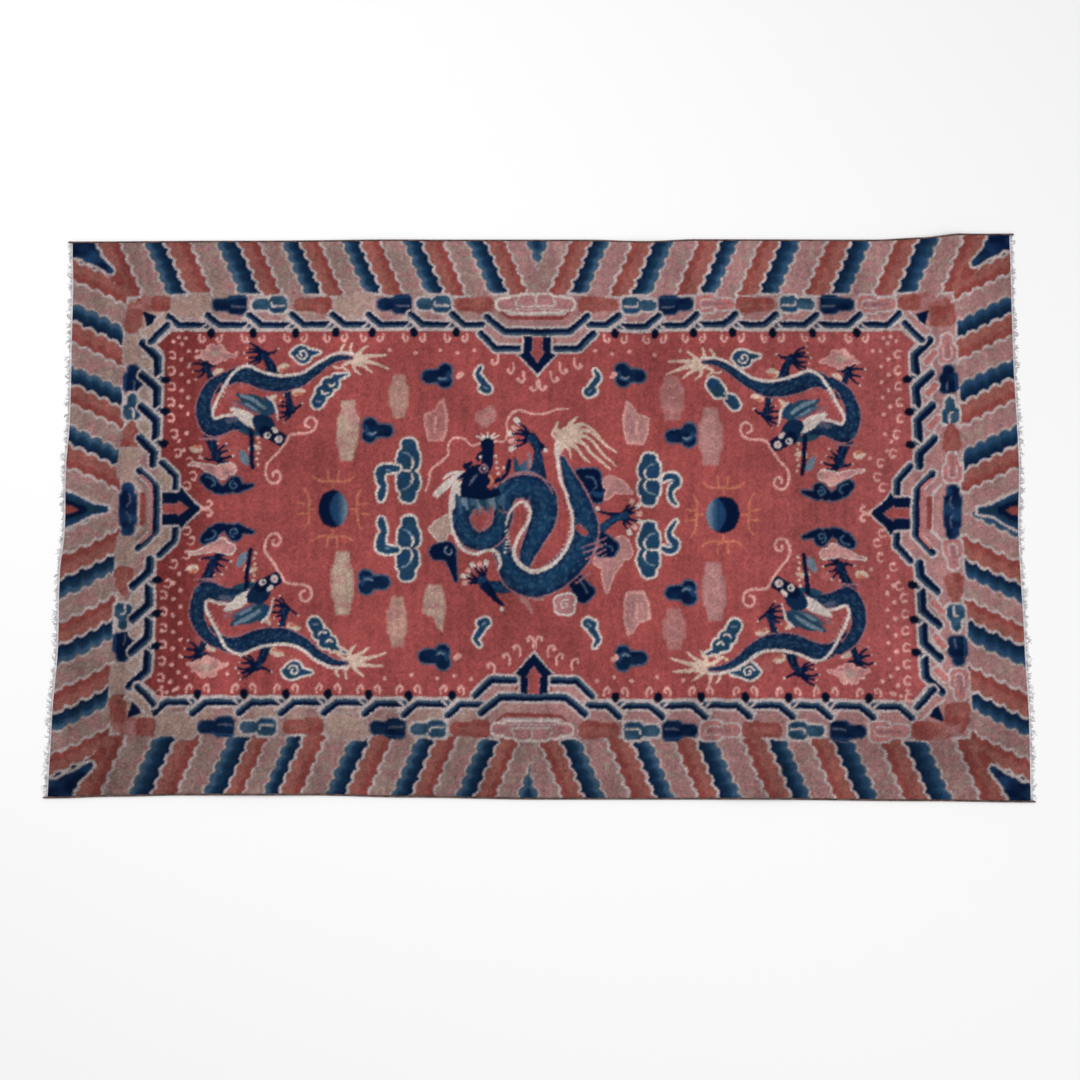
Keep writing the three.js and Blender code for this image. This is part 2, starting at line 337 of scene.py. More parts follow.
def paint_waves():
    """Fills each half side with its waves, then adds the corner wedges and the end seams."""
    streaks = wool_noise(22, 14, 3)
    embers = wool_noise(16, 26, 5)
    for (side, end), row in WAVES.items():
        mean = (RING[side] + RING[end]) / 2
        along = DEPTH[end] * mean / RING[end]
        depth = DEPTH[side]
        wedge = (DEPTH[end] <= row["seam"]) & (depth * RING[end] <= DEPTH[end] * RING[side])
        mine = (depth < RING[side] + UNDER_CLOUDS) & wedge
        edges = np.array(row["edges"]) * mean / RING[end]
        edges = np.r_[edges[0] - LAST_WAVE, edges, edges[-1] + LAST_WAVE, edges[-1] + 2 * LAST_WAVE]
        s = along - SLANT * depth * mean / RING[side]
        turn = 2 * np.pi * (depth / SCALLOP + s / SCALLOP_TURN)
        s += SCALLOP_RISE * (np.sin(turn) + 0.3 * np.cos(2 * turn))
        group = np.clip(np.searchsorted(edges, s) - 1, 0, len(edges) - 2)
        share = np.clip((s - edges[group]) / (edges[group + 1] - edges[group]), 0, 1)
        tint = wave_colour(share)
        is_red = (share > 0.055) & (share < 0.34)
        is_pale = (share > 0.394) & (share < 0.702)
        tint = mix(tint, WOOL["ember"], is_red * np.clip(embers, 0, 1) * 0.45)
        towards_blue = ease(share, 0.42, 0.66)
        rosy = np.clip(0.25 + 0.45 * ease(X, -250, 150) + 0.9 * streaks + 0.25 * towards_blue, 0, 1)
        tint = mix(tint, WOOL["beige"], is_pale * (0.35 + 0.35 * np.clip(-streaks, 0, 1)))
        tint = mix(tint, WOOL["rosy"], is_pale * rosy * 0.75)
        tint = mix(tint, WOOL["blue"], (share > 0.76) * (share < 0.85) * 0.6 * ease(X, 200, 900))
        # each blue and each red band ends in a round tip with a cream line round it
        inward = RING[side] - depth
        for middle, half, past in ((0.87, 0.15, 3), (0.20, 0.16, -3)):
            tip = past + 18 * (1 - np.clip(1 - ((share - middle) / half) ** 6, 0, 1) ** 0.25)
            band = np.abs(share - middle) < half
            tint[band & (inward < tip)] = WOOL["line"]
            ground = band & (inward < tip - 7)
            tint[ground] = ring_ground[ground]
        chart[mine] = tint[mine]
    for flip_x in (1, -1):
        for flip_y in (1, -1):
            where = lambda points: placed(
                [(x - LONG / 2, WIDE / 2 - y, *w) for x, y, *w in points], (flip_x, flip_y)
            )
            stroke(where([(70, 62, 30), (108, 104, 24)]), "brick")
            stroke(where([(x, y, 13) for x, y in WEDGE[1:-1]]), "line", smooth=False)
            polygon(where(WEDGE), two_wools("night", "blue", blotches))
    for side, sign in (("left", 1), ("right", -1)):
        y = WAVE_SEAM[side]
        for wool, shape in SEAM_CORE:
            both = [(1, x, half) for x, half in shape] + [(-1, x, half) for x, half in shape[::-1]]
            polygon([(-x * sign, y + way * half) for way, x, half in both], wool)

# %% [markdown]
# ## The ring of small clouds
# A narrow band of lobed clouds in red, pale and two blue wools parts the waves from the fret. Each
# cloud is one to three lobes, which are rectangles with cut corners, as the knots make them. It is
# drawn once, as if on the far side, and `on_side` turns it to any of the four sides.

# %% Where the clouds lie
FIELD = {"left": 223, "right": 258, "top": 237, "bottom": 241}
CLOUD_DEPTH = {"left": 143, "right": 157, "top": 166, "bottom": 163}
LONG_SIDE_CLOUDS = [
    # place along the side, wool
    (-990, "red"), (-897, "pale"), (-800, "navy"), (-697, "teal"), (-585, "red"), (-480, "pale"),
    (-380, "navy"), (-279, "teal"), (-175, "red"), (140, "red"), (245, "teal"), (340, "navy"),
    (437, "pale"), (540, "red"), (648, "teal"), (750, "navy"), (850, "pale"), (955, "red"),
]
CLOUDS = {
    "top": LONG_SIDE_CLOUDS,
    "bottom": LONG_SIDE_CLOUDS,
    "left": [
        (500, "red"), (418, "pale"), (345, "navy"), (272, "teal"), (195, "red"), (125, "pale"),
        (-90, "pale"), (-172, "red"), (-262, "teal"), (-338, "navy"), (-415, "pale"), (-492, "red"),
    ],
    "right": [
        (505, "red"), (412, "pale"), (335, "navy"), (255, "teal"), (185, "red"), (110, "pale"),
        (-105, "pale"), (-187, "red"), (-262, "teal"), (-343, "navy"), (-425, "pale"), (-502, "red"),
    ],
}

# %% Any side from one drawing
def on_side(side, at, depth, points):
    """Points drawn as if on the far side, x along it and y outwards, moved to any side of the carpet."""
    if side in ("top", "bottom"):
        y = WIDE / 2 - depth
        flip = 1 if side == "top" else -1
        return [(at + x, flip * (y + dy), *w) for x, dy, *w in points]
    x0 = LONG / 2 - depth
    flip = 1 if side == "right" else -1
    return [(flip * (x0 + dy), at + x, *w) for x, dy, *w in points]

# %% One small cloud
BAND_CLOUDS = {
    # lobes as (low, high) along the band and (down, up) across it
    "red": [(-50, 50, -18, 18), (-2, 48, -24, 21)],
    "pale": [(-48, 4, -34, 20), (-6, 48, -34, 28)],
    "pink": [(-50, 2, -15, 14), (-4, 48, -23, 23)],
    "navy": [(-42, 2, -16, 14), (-4, 44, -24, 24)],
    "teal": [(-44, 2, -14, 14), (-2, 44, -22, 22)],
}
UPRIGHT_CLOUDS = {
    "red": [(-40, -16, -11, 11), (-26, 36, -20, 20), (0, 34, -24, 24)],
    "pale": [(-38, 36, -23, 23)],
    "pink": [(-38, -2, -13, 13), (-10, 36, -23, 23)],
    "navy": [(-36, -8, -14, 14), (-16, 35, -23, 23)],
    "teal": [(-34, 0, -12, 12), (-8, 33, -22, 22)],
}


def pale_cloud(rows, cols):
    return mix(pale(X[rows, cols]), ring_ground[rows, cols], 0.3)


CLOUD_WOOL = {
    # rim, its width and the fill
    "red": ("ember", 0, two_wools("brick", "rust", blotches)),
    "pale": (mix(WOOL["line"], WOOL["sand"], 0.4), 4, pale_cloud),
    "pink": ("line", 5, two_wools("coral", "rosy", blotches)),
    "navy": ("slate", 3, two_wools("night", "navy", blotches)),
    "teal": ("line", 6, two_wools("teal", "steel", blotches)),
}


def lobe(low, high, down, up, grow=0.0, cut=9.0):
    """The eight corners of one lobe of a band cloud."""
    low, high, down, up = low - grow, high + grow, down - grow, up + grow
    return [
        (low + cut, down), (high - cut, down), (high, down + cut), (high, up - cut),
        (high - cut, up), (low + cut, up), (low, up - cut), (low, down + cut),
    ]


def small_cloud(side, at, kind):
    """One cloud of the narrow band, with its head towards the middle of the side."""
    upright = side in ENDS
    towards = 1 if at < 0 else -1
    depth = CLOUD_DEPTH[side]
    where = lambda points: on_side(side, at, depth, [(x * towards, y, *w) for x, y, *w in points])
    if kind == "pale" and (side == "right" or (not upright and at > 0)):
        kind = "pink"
    rim, rim_width, fill = CLOUD_WOOL[kind]
    lobes = (UPRIGHT_CLOUDS if upright else BAND_CLOUDS)[kind]
    for part in lobes:
        polygon(where(lobe(*part, grow=rim_width)), rim)
    for part in lobes:
        polygon(where(lobe(*part)), fill)
    reach = 28 if upright else 38
    if kind == "navy":
        stroke(where([(6, -3, 4), (14, -5, 5), (reach, -5, 5)]), "slate")
        stroke(where([(-8, 17, 5), (reach, 19, 5)]), "blue")
    if kind == "teal":
        stroke(where([(4, 7, 4), (5, -1, 6), (12, -4, 6), (reach, -4, 6)]), "line")
        stroke(where([(2, -14, 5), (reach - 4, -14, 6)]), "blue")
    if kind == "pink":
        stroke(where([(-26, 1, 5), (reach - 6, 0, 9)]), "mauve")
        head = [(-4, 10, 4), (reach - 12, 11, 4), (reach - 3, 6, 4)]
        stroke(where(head + [(x, -y, width) for x, y, width in head[::-1]]), "line")
    if kind == "red":
        stroke(where([(-30, -2, 7), (-8, -4, 8)]), "rust")
        stroke(where([(8, 6, 6), (14, -6, 8), (28, -4, 7)]), "rust")

# %% [markdown]
# ## The fret
# Inside the clouds a row of slanting navy hooks makes a broken key pattern, with a small bud under
# each hook. The weaver spaced the hooks by eye, so a table holds each bud's place and the hooks
# are stretched between two buds. The bars are lighter on their inner side, as if lit from there.

# %% Fret sizes
BAR = {"level": 17.0, "upright": 23.0}
KNOBS = {
    "top": [-845, -738, -630, -527, -435, -328, -222, 183, 285, 383, 482, 584, 687, 798],
    "bottom": [-850, -735, -632, -527, -427, -330, -222, 180, 285, 390, 500, 605, 697, 803],
    "left": [340, 258, 175, -172, -256, -337],
    "right": [340, 257, 172, -180, -265, -345],
}
FIRST_HOOK = {"top": (-948, 898), "bottom": (-948, 898), "left": (-422, 422), "right": (-428, 425)}
MIDDLE = {"top": -15, "bottom": -22, "left": 9, "right": 0}
OUTER_LEFT = {"top": 1, "bottom": -1, "left": 1, "right": -1}
print("Fret:", sum(len(row) for row in KNOBS.values()), "buds")

# %% Fret hooks
def two_tone(side, towards):
    """Fret wool: deep navy on the side of the bar that faces outwards, steel blue towards the field."""
    outer = OUTER_LEFT[side] * towards
    return lambda length, left: mix(WOOL["steel"] * 0.85, WOOL["night"], ease(left * outer, -0.35, -0.05))


HOOKS = {
    # points along the side, counted from a knob, and outwards from the bar's line
    "level": dict(start=(-9, 27), turn=22, slip=[(-25, 20), (18, -13)], cut=[(-29, -12), (-13, 3)]),
    "upright": dict(start=(-14, 38), turn=22, slip=[(-34, 41), (18, -14)], cut=[(-19, -15), (-6, 2)]),
}


def hook(side, knob, towards, pitch):
    """A navy fret hook that starts outside the knob, slants inwards and runs on to the next one."""
    bar = FIELD[side] - 17
    upright = side in ENDS
    way = "upright" if upright else "level"
    kind = HOOKS[way]
    put = lambda points, width: on_side(side, knob, bar, [(x * towards, y, width) for x, y in points])
    if upright:
        crook = [(-48, 34), (-40, 30)] if side == "left" else [(-66, 50), (-44, 30)]
        stroke(
            put(crook, 24 if side == "left" else 15), "beige" if side == "left" else "coral", rim="line",
            rim_width=5,
        )
    line = put([kind["start"], (kind["turn"], 0), (pitch - 12, 0)], BAR[way])
    stroke(line, "line", rim="line", rim_width=5, smooth=False)
    stroke(line, two_tone(side, towards), smooth=False)
    stroke(put(kind["slip"], 7), "line", smooth=False)
    stroke(put(kind["cut"], 6), "line", smooth=False)


def paint_fret():
    """Hooks from both ends of each side towards its middle."""
    for side, knobs in KNOBS.items():
        first, last = FIRST_HOOK[side]
        middle = MIDDLE[side]
        before = [first] + sorted(k for k in knobs if k < middle)
        after = [last] + sorted((k for k in knobs if k > middle), reverse=True)
        for chain, towards in ((before, 1), (after, -1)):
            for k, at in enumerate(chain):
                pitch = abs(chain[k + 1] - at) if k + 1 < len(chain) else abs(at - chain[k - 1]) * 0.75
                hook(side, at, towards, pitch)


def in_ring(outer, inner):
    """Knots at least the outer width in from every side, and less than the inner width from one."""
    inside = np.ones(X.shape, bool)
    beyond = np.zeros(X.shape, bool)
    for side in DEPTH:
        inside &= DEPTH[side] >= outer[side]
        beyond |= DEPTH[side] < inner[side]
    return inside & beyond

# %% Cream line, buds and corners
def edge_line():
    """The cream line round the field."""
    for side in KNOBS:
        length = WIDE if side in ENDS else LONG
        low, high = ("bottom", "top") if side in ENDS else ("left", "right")
        low, high = FIELD[low], FIELD[high]
        ends = (low - length / 2 + 30, length / 2 - high - 30)
        stroke(on_side(side, 0, FIELD[side] - 3, [(ends[0], 0, 7), (ends[1], 0, 7)]), "line", smooth=False)


def knob(side, at):
    """A navy bud that hangs from the cream line into the field, between two cream curls."""
    edge = FIELD[side]
    bud = [(0, 13), (7, 8), (11, 0), (8, -11), (0, -15), (-8, -11), (-11, 0), (-7, 8)]
    polygon(on_side(side, at, edge + 2, bud), WOOL["night"] * 0.7)
    if side in ("top", "bottom"):
        for way in (-1, 1):
            side_curl = [(28, -8, 6), (28, -19, 7), (21, -27, 7), (15, -20, 6), (18, -14, 5)]
            stroke(on_side(side, at, edge, [(way * x, y, width) for x, y, width in side_curl]), "blush")


def corner(flip_x, flip_y, left, top):
    """The slanted bar that closes the fret at a corner."""
    x0, y0 = -LONG / 2 + left, WIDE / 2 - top
    where = lambda points: placed([(x0 + x, y0 + y, *w) for x, y, *w in points], (flip_x, flip_y))
    outer = where([(-62, 52), (-30, 70), (10, 52), (-10, 20), (-32, -12), (-62, -4)])
    inner = where([(-24, -36), (16, 3), (60, 3), (60, -60), (-3, -60)])
    polygon(outer, pale(np.array(flip_x * x0)))
    polygon(inner, lambda rows, cols: ground[rows, cols])
    stroke(where([(-60, 0, 6), (-2, 52, 6)]), "line")
    polygon(where([(-58, 55), (-22, 42), (-32, 24), (-46, 14)]), "night")
    bar = where([(-36, -25, 17), (6, 19, 17)])
    stroke(bar, "line", rim="line", rim_width=6, smooth=False)
    stroke(bar, two_tone("top", flip_x * flip_y), smooth=False)
    stroke(where([(-2, -62, 6), (-6, -50, 6), (-24, -34, 6), (16, 5, 6), (46, 3, 6)]), "line", smooth=False)
    for part in ((-66, -28, 52, 97), (-98, -58, 36, 80)):
        polygon(where(lobe(*part)), two_wools("rust", "rosy", blotches))
    for part in ((-36, 14, 53, 95), (-100, -58, 8, 62)):
        polygon(where(lobe(*part)), two_wools("brick", "rust", blotches))

# %% [markdown]
# ## Brackets and arrows
# At the middle of each side two stepped bars stand one within the other, and an arrow with a red
# heart hangs from them into the field. Each is a few straight strokes or one panel drawn twice,
# first a little larger in the outline's wool. Scaling the panel would thicken its rim unevenly,
# so its corners are moved out instead.

# %% Brackets
BRACKETS = {
    "upright": dict(out=(57, 213, 42, 40), inside=(82, 262, 36, 34), core=40),
    "level": dict(out=(80, 239, 48, 40), inside=(105, 281, 38, 38), core=46),
}


def bracket(side):
    """The two stepped bars at the middle of a side, one within the other."""
    kind = BRACKETS["upright" if side in ENDS else "level"]
    middle = MIDDLE[side]
    slip = FIELD[side] - (223 if side in ENDS else 237)
    half, depth, slant, rise = kind["inside"]
    core = kind["core"]
    ground = pale(np.array({"left": -900.0, "right": 900.0}.get(side, 0.0)))
    for way in (-1, 1):
        fill = [(way * (half + slant - 6), rise + 12), (way * half, -4), (way * core, -4), (way * core, 46)]
        polygon(on_side(side, middle, depth + slip, fill), ground)
        bar = [(way * (half + slant), rise, 17), (way * half, 0, 17), (way * core, 0, 17)]
        bar = on_side(side, middle, depth + slip, bar)
        stroke(bar, two_tone(side, -way), rim="line", rim_width=6, smooth=False)
    half, depth, slant, rise = kind["out"]
    bar = [(-half - slant, rise, 18), (-half, 0, 18), (half, 0, 18), (half + slant, rise, 18)]
    bar = on_side(side, middle, depth + slip, bar)
    stroke(bar, two_tone(side, 1), rim="line", rim_width=6, smooth=False)

# %% Arrows and curls
def arrow(side):
    """The navy arrow with a red heart that hangs from the middle of a side into the field."""
    top = FIELD[side] + (5 if side in ENDS else 13)
    middle = MIDDLE[side]
    half = 40 if side in ENDS else 34
    shape = lambda grow: [
        (-half - grow, 0), (-half - grow, -42), (-half - 13 - grow, -49), (-34, -62 - grow),
        (0, -98 - grow * 1.6), (34, -62 - grow), (half + 13 + grow, -49), (half + grow, -42),
        (half + grow, 0),
    ]
    polygon(on_side(side, middle, top, shape(6)), "line")
    polygon(on_side(side, middle, top, shape(0)), "night")
    heart = lambda grow: [
        (-11 - grow, 0), (-11 - grow, -38), (-17 - grow, -40), (0, -64 - grow * 1.5),
        (17 + grow, -40), (11 + grow, -38), (11 + grow, 0),
    ]
    polygon(on_side(side, middle, top, heart(3)), "mauve")
    polygon(on_side(side, middle, top, heart(0)), "rose")
    curls = [(12, -114), (-12, -114)] if side in ENDS else [
        (-108, -62), (-70, -85), (-44, -107), (-11, -129), (14, -129), (44, -107), (66, -85), (104, -74),
    ]
    for x, y in curls:
        way = 1 if x < 0 else -1
        drop = [(9, 16, 6), (9, -2, 6), (2, -10, 7), (-6, -6, 8), (-5, -1, 8)]
        stroke(on_side(side, middle, top, [(x + way * a, y + b, width) for a, b, width in drop]), "blush")

# %% Dots at the two ends of the field
LOOSE_CURLS = [(-932, 190), (-920, 142), (-889, 118), (-880, 82), (-894, 56)]
LOOSE_DOTS = [
    (-918, 182), (-905, 158), (-901, 201), (-940, 440), (-925, 452), (-908, 448), (-880, 415), (-864, 140)
]
END_CURL = [(-951, 9, 4), (-941, 11, 6), (-935, 2, 6), (-938, -7, 6), (-947, -6, 8)]
LOOSE_CURL = [(-9, 8, 4), (2, 11, 5), (8, 2, 5), (5, -8, 6), (-3, -7, 8)]
INNER_DOTS = (-780, -390, -325, -262, -218, -175)
CURL_PITCH = 41


def dots():
    """Dots and curls scattered along the two ends of the field."""
    for flip, slip in ((1, 0), (-1, -42)):
        for k in range(-11, 11):
            y = -7 + CURL_PITCH * k
            if abs(y) > 200:
                for line in (
                    [(x, y + dy, w) for x, dy, w in END_CURL], [(-918, y + 32, 11)], [(-900, y + 13, 10)]
                ):
                    stroke(placed(line, (flip, 1), (slip, 0)), "blush")
        for up in (1, -1):
            for x, y in LOOSE_CURLS:
                line = [(x + dx, y + dy, w) for dx, dy, w in LOOSE_CURL]
                stroke(placed(line, (flip, up), (slip, 9)), "blush")
            for x, y in LOOSE_DOTS + [(x, 408 + 8 * (k % 2)) for k, x in enumerate(INNER_DOTS)]:
                stroke(placed([(x, y, 10)], (flip, up), (slip, 0)), "blush")

# %% Border on the chart
ground = field_ground()
rows, cols = np.nonzero(in_ring(RING, FIELD))
dye(rows, cols, ring_ground[rows, cols])
paint_waves()
for side, row in CLOUDS.items():
    for at, kind in row:
        small_cloud(side, at, kind)
paint_fret()
edge_line()
for flip_x, left in ((1, FIELD["left"]), (-1, FIELD["right"])):
    for flip_y, top in ((1, FIELD["top"]), (-1, FIELD["bottom"])):
        corner(flip_x, flip_y, left, top)
for side, row in KNOBS.items():
    for at in row:
        knob(side, at)
    bracket(side)
    arrow(side)
dots()
print("Border:", sum(len(row) for row in CLOUDS.values()), "small clouds, 4 corners, 4 arrows")

# %% [markdown]
# ## The wide clouds at the middle of each side
# The band ends at each middle in one wide cloud, over the bars of the bracket. It is the same kind
# of lobes as the small clouds, with the lines of its scrolls on top.

# %% Middle clouds
MIDDLE_LOBES = [
    (-98, -60, -14, 12), (60, 98, -14, 12), (-70, 70, -20, 18), (-44, 0, -12, 24), (0, 44, -12, 24)
]
END_LOBES = ((-66, -20, -14, 16), (20, 66, -14, 16), (-44, 44, -20, 22))
MIDDLE_LINES = [
    [(0, -4, 5), (0, 20, 5)], [(-46, -6, 5), (46, -6, 5)], [(-46, -6, 5), (-52, 2, 5), (-44, 12, 5)],
    [(46, -6, 5), (52, 2, 5), (44, 12, 5)], [(-66, -14, 4), (66, -14, 4)],
]


def stepped_line(half, drop, rise, width):
    """A level line that turns up at both ends."""
    return [
        (-half - 22, drop + rise, width), (-half, drop, width), (half, drop, width),
        (half + 22, drop + rise, width),
    ]


def middle_clouds():
    """The wide cloud at the middle of each side, over the outer bracket's red line."""
    for side in ("top", "bottom"):
        at, depth = MIDDLE[side] - 3, CLOUD_DEPTH[side]
        under = [(x, y) for x, y, _ in stepped_line(66, -44, 18, 1)]
        polygon(on_side(side, at, depth, under + [(96, 4), (-96, 4)]), "rosy")
        stroke(on_side(side, at, depth, stepped_line(66, -36, 18, 9)), "brick", smooth=False)
        stroke(on_side(side, at, depth, stepped_line(70, -27, 18, 5)), "line", smooth=False)
        for part in MIDDLE_LOBES:
            polygon(on_side(side, at, depth, lobe(*part, grow=5)), "cream")
        for part in MIDDLE_LOBES:
            polygon(on_side(side, at, depth, lobe(*part)), "rosy")
        for line in MIDDLE_LINES:
            stroke(on_side(side, at, depth, line), "line", smooth=False)
    for side in ENDS:
        at, depth = MIDDLE[side], FIELD[side] - 10
        inner = ("rosy", "sand", "line") if side == "left" else ("coral", "rosy", "line")
        for half, drop, width, hue in zip((62, 56, 46), (14, 26, 40), (9, 9, 8), inner):
            stroke(on_side(side, at, depth, stepped_line(half, drop, 22, width)), hue, smooth=False)
        stroke(on_side(side, at, depth, [(-36, 34, 13), (36, 34, 13)]), "brick", smooth=False)
        depth = CLOUD_DEPTH[side]
        for part in END_LOBES:
            polygon(on_side(side, at, depth, lobe(*part, grow=3)), "slate")
        for part in END_LOBES:
            polygon(on_side(side, at, depth, lobe(*part)), two_wools("night", "blue", blotches))
        for way in (-1, 1):
            scroll = [(way * 8, 4, 4), (way * 20, -5, 5), (way * 38, -3, 4)]
            stroke(on_side(side, at, depth, scroll), "slate")


middle_clouds()
print("Wide clouds:", len(MIDDLE), "with", len(MIDDLE_LOBES), "or", len(END_LOBES), "lobes")

# %% [markdown]
# ## Clouds in the field
# Small clouds fill the field: pale panels, and blue ones with a cream rim and a scroll. No two are
# quite alike, but each is one of ten shapes, mirrored and moved. Instances of a mesh would not
# show in the pile, so the shapes are tables of strokes in their own small frame.

# %% Shapes of the field clouds
PANELS = {
    "column": [
        (-0.62, 1), (0.62, 1), (0.72, 0.62), (1, 0.42), (1, -0.42), (0.72, -0.62), (0.62, -1), (-0.62, -1),
        (-0.72, -0.62), (-1, -0.42), (-1, 0.42), (-0.72, 0.62),
    ],
    "flag": [
        (-1, 0.5), (-0.7, 0.62), (-0.1, 0.75), (0.3, 1.3), (0.72, 1.5), (0.86, 0.95), (1, 0.5),
        (0.95, -0.4), (0.7, -1), (-0.6, -1), (-0.9, -0.4),
    ],
}
FIELD_PANELS = [
    # kind, x, y, half width, half height, flip x, flip y, wool, share of it
    ("column", -495, 207, 27, 78, 1, 1, "straw", 1.0),
    ("column", -367, 296, 24, 56, 1, 1, "straw", 0.75),
    ("column", -497, -181, 27, 80, 1, 1, "straw", 1.0),
    ("column", -362, -276, 24, 62, 1, 1, "straw", 0.75),
    ("column", 421, 195, 30, 73, 1, 1, "pink", 1.0),
    ("column", 325, 294, 30, 57, 1, 1, "pink", 0.72),
    ("column", 428, -198, 29, 73, 1, 1, "pink", 1.0),
    ("column", 326, -290, 29, 51, 1, 1, "pink", 0.72),
    ("flag", -274, 226, 28, 42, 1, 1, "pink", 0.65),
    ("flag", 233, 222, 32, 43, -1, 1, "pink", 1.0),
    ("flag", 235, -240, 32, 43, -1, -1, "pink", 1.0),
    ("flag", -270, -230, 28, 46, 1, -1, "straw", 1.0),
]
SHAPES = {
    "bat": [[(-16, 12, 36)], [(-16, -13, 34)], [(-2, 0, 32), (26, -1, 32)]],
    "swirl": [[(-4, 0, 40), (0, -2, 42)], [(4, 4, 24), (42, 4, 5)], [(-14, 2, 24), (-24, 0, 10)]],
    "leaf": [
        [(-22, -26, 30), (-16, -16, 30)], [(-10, 2, 30), (2, 4, 30)], [(4, 22, 28), (18, 22, 30)],
        [(26, 36, 18), (36, 40, 10), (56, 46, 3)],
    ],
    "pair": [[(-24, 26, 34), (-12, 10, 34)], [(2, 0, 14)], [(18, -12, 28), (28, -25, 26)]],
    "comma": [[(-8, 46, 8), (-16, 30, 12), (-4, 10, 16), (4, -4, 16)], [(-4, -8, 18), (8, -10, 24)]],
    "hook": [
        [(32, 38, 14), (12, 38, 20), (-8, 32, 24), (-9, 8, 20), (-3, -8, 15), (-8, -26, 19), (-10, -38, 14)]
    ],
    "query": [
        [
            (-18, 30, 10), (-8, 36, 14), (8, 34, 16), (12, 18, 16), (2, 8, 14), (-4, -8, 11), (2, -24, 10),
            (12, -36, 6),
        ]
    ],
    "double": [
        [(-6, 68, 24), (6, 68, 24), (6, 52, 26), (-6, 52, 26)],
        [(-12, 42, 28), (12, 42, 28), (12, 15, 28), (-12, 15, 28), (-12, 40, 28)],
        [(-6, -68, 24), (6, -68, 24), (6, -52, 26), (-6, -52, 26)],
        [(-12, -42, 28), (12, -42, 28), (12, -15, 28), (-12, -15, 28), (-12, -40, 28)],
        [(0, 15, 22), (0, 45, 22)], [(0, -15, 22), (0, -45, 22)],
    ],
}
FIELD_SHAPES = [
    # kind, x, y, flip x, flip y, height
    ("bat", -424, 208, 1, 1, 1.0), ("bat", -422, -178, 1, -1, 1.0),
    ("bat", -266, 349, -1, 1, 1.0), ("bat", -264, -362, -1, -1, 1.0),
    ("bat", 350, 197, -1, 1, 1.0), ("bat", 350, -200, -1, -1, 1.0),
    ("bat", 217, 354, 1, 1, 1.0), ("bat", 214, -362, 1, -1, 1.0),
    ("leaf", -552, 306, 1, 1, 1.0), ("leaf", -545, -308, 1, -1, 1.0),
    ("pair", 455, 300, 1, 1, 1.0), ("leaf", 455, -308, -1, -1, 1.0),
    ("swirl", -612, 406, 1, 1, 1.0), ("swirl", 508, 396, 1, 1, 1.0),
    ("swirl", -615, -400, 1, -1, 1.0), ("swirl", 508, -395, -1, -1, 1.0),
    ("double", -340, 105, 1, 1, 1.0), ("double", -336, -92, 1, -1, 1.0),
    ("double", 267, 88, -1, 1, 0.80), ("double", 267, -90, -1, -1, 0.86),
    ("hook", -398, 72, 1, 1, 1.0), ("hook", -396, -58, 1, -1, 1.0),
    ("query", 322, 58, 1, 1, 1.0), ("query", 322, -56, 1, -1, 1.0),
    ("comma", -152, 325, 1, 1, 1.0), ("comma", 122, 318, -1, 1, 1.0),
    ("comma", -150, -285, 1, -1, 1.0), ("comma", 120, -286, -1, -1, 1.0),
]
DETAILS = {
    # kind: wool and points of each scroll on it
    "bat": [
        ("blue", [(-26, 8, 8), (-20, -8, 14), (-4, -12, 8)]),
        ("mist", [(-20, -7, 4), (-10, -9, 6), (0, -5, 4)]),
    ],
    "swirl": [("cream", curl(0, 0, 15, 1.1, 200, 1, 5))],
    "leaf": [
        ("cream", [(-12, 4, 4), (-6, -4, 6), (6, -2, 5)]),
        ("cream", [(6, 22, 4), (14, 14, 6), (22, 20, 5)]), ("mist", [(-24, -24, 5), (-14, -24, 5)]),
    ],
    "pair": [("cream", [(4, 2, 4), (10, -8, 4), (2, -10, 4)])],
    "comma": [("mist", [(0, -4, 4), (8, -10, 5)])],
    "hook": [("mist", [(4, 34, 4), (14, 34, 4)])],
    "query": [("mist", [(-4, 20, 5), (4, 26, 5)])],
    "double": [
        ("cream", [(-26, 0, 6), (4, 0, 5)]), ("cream", [(8, 6, 5), (12, 18, 7), (8, 34, 6)]),
        ("cream", [(8, -6, 5), (12, -18, 7), (8, -34, 6)]),
        ("mist", [(-14, 48, 4), (-2, 44, 5), (8, 34, 5)]),
        ("mist", [(-14, -48, 4), (-2, -44, 5), (8, -34, 5)]),
    ],
}

# %% Field clouds on the chart
def soft(colour, share):
    """A fill that only tints what is already there."""
    return lambda rows, cols: mix(chart[rows, cols], WOOL[colour], share)


for kind, x, y, half, tall, flip_x, flip_y, wool, share in FIELD_PANELS:
    spread = lambda a, b, grow: (x + flip_x * a * (half + grow), y + flip_y * b * (tall + grow))
    sized = lambda grow: [spread(a, b, grow) for a, b in PANELS[kind]]
    panel = mix(WOOL["rose"], WOOL[wool], share)
    if kind == "flag" and wool == "pink":
        polygon(sized(3), mix(panel, WOOL["blush"], 0.6))
        polygon(sized(-4), panel)
        stroke([(x - 2, y - 22, 5), (x + 1, y + 14, 5)], "blush")
        stroke([(x - 12, y - 16, 4), (x - 10, y + 14, 4)], "mauve")
        continue
    polygon(sized(2), mix(WOOL["rose"], panel, 0.6))
    spotted = lambda rows, cols: mix(panel, WOOL["rosy"], np.clip(0.12 + 0.7 * patches[rows, cols], 0, 0.7))
    polygon(sized(-2), spotted)
    for up in (-0.5, 0.1, 0.6):
        level = y + up * tall
        scroll = [
            (x - 0.3 * half, level, 4), (x + 0.1 * half, level - 5, 5), (x + 0.4 * half, level + 3, 4)
        ]
        blob([scroll], soft("blush", 0.35))

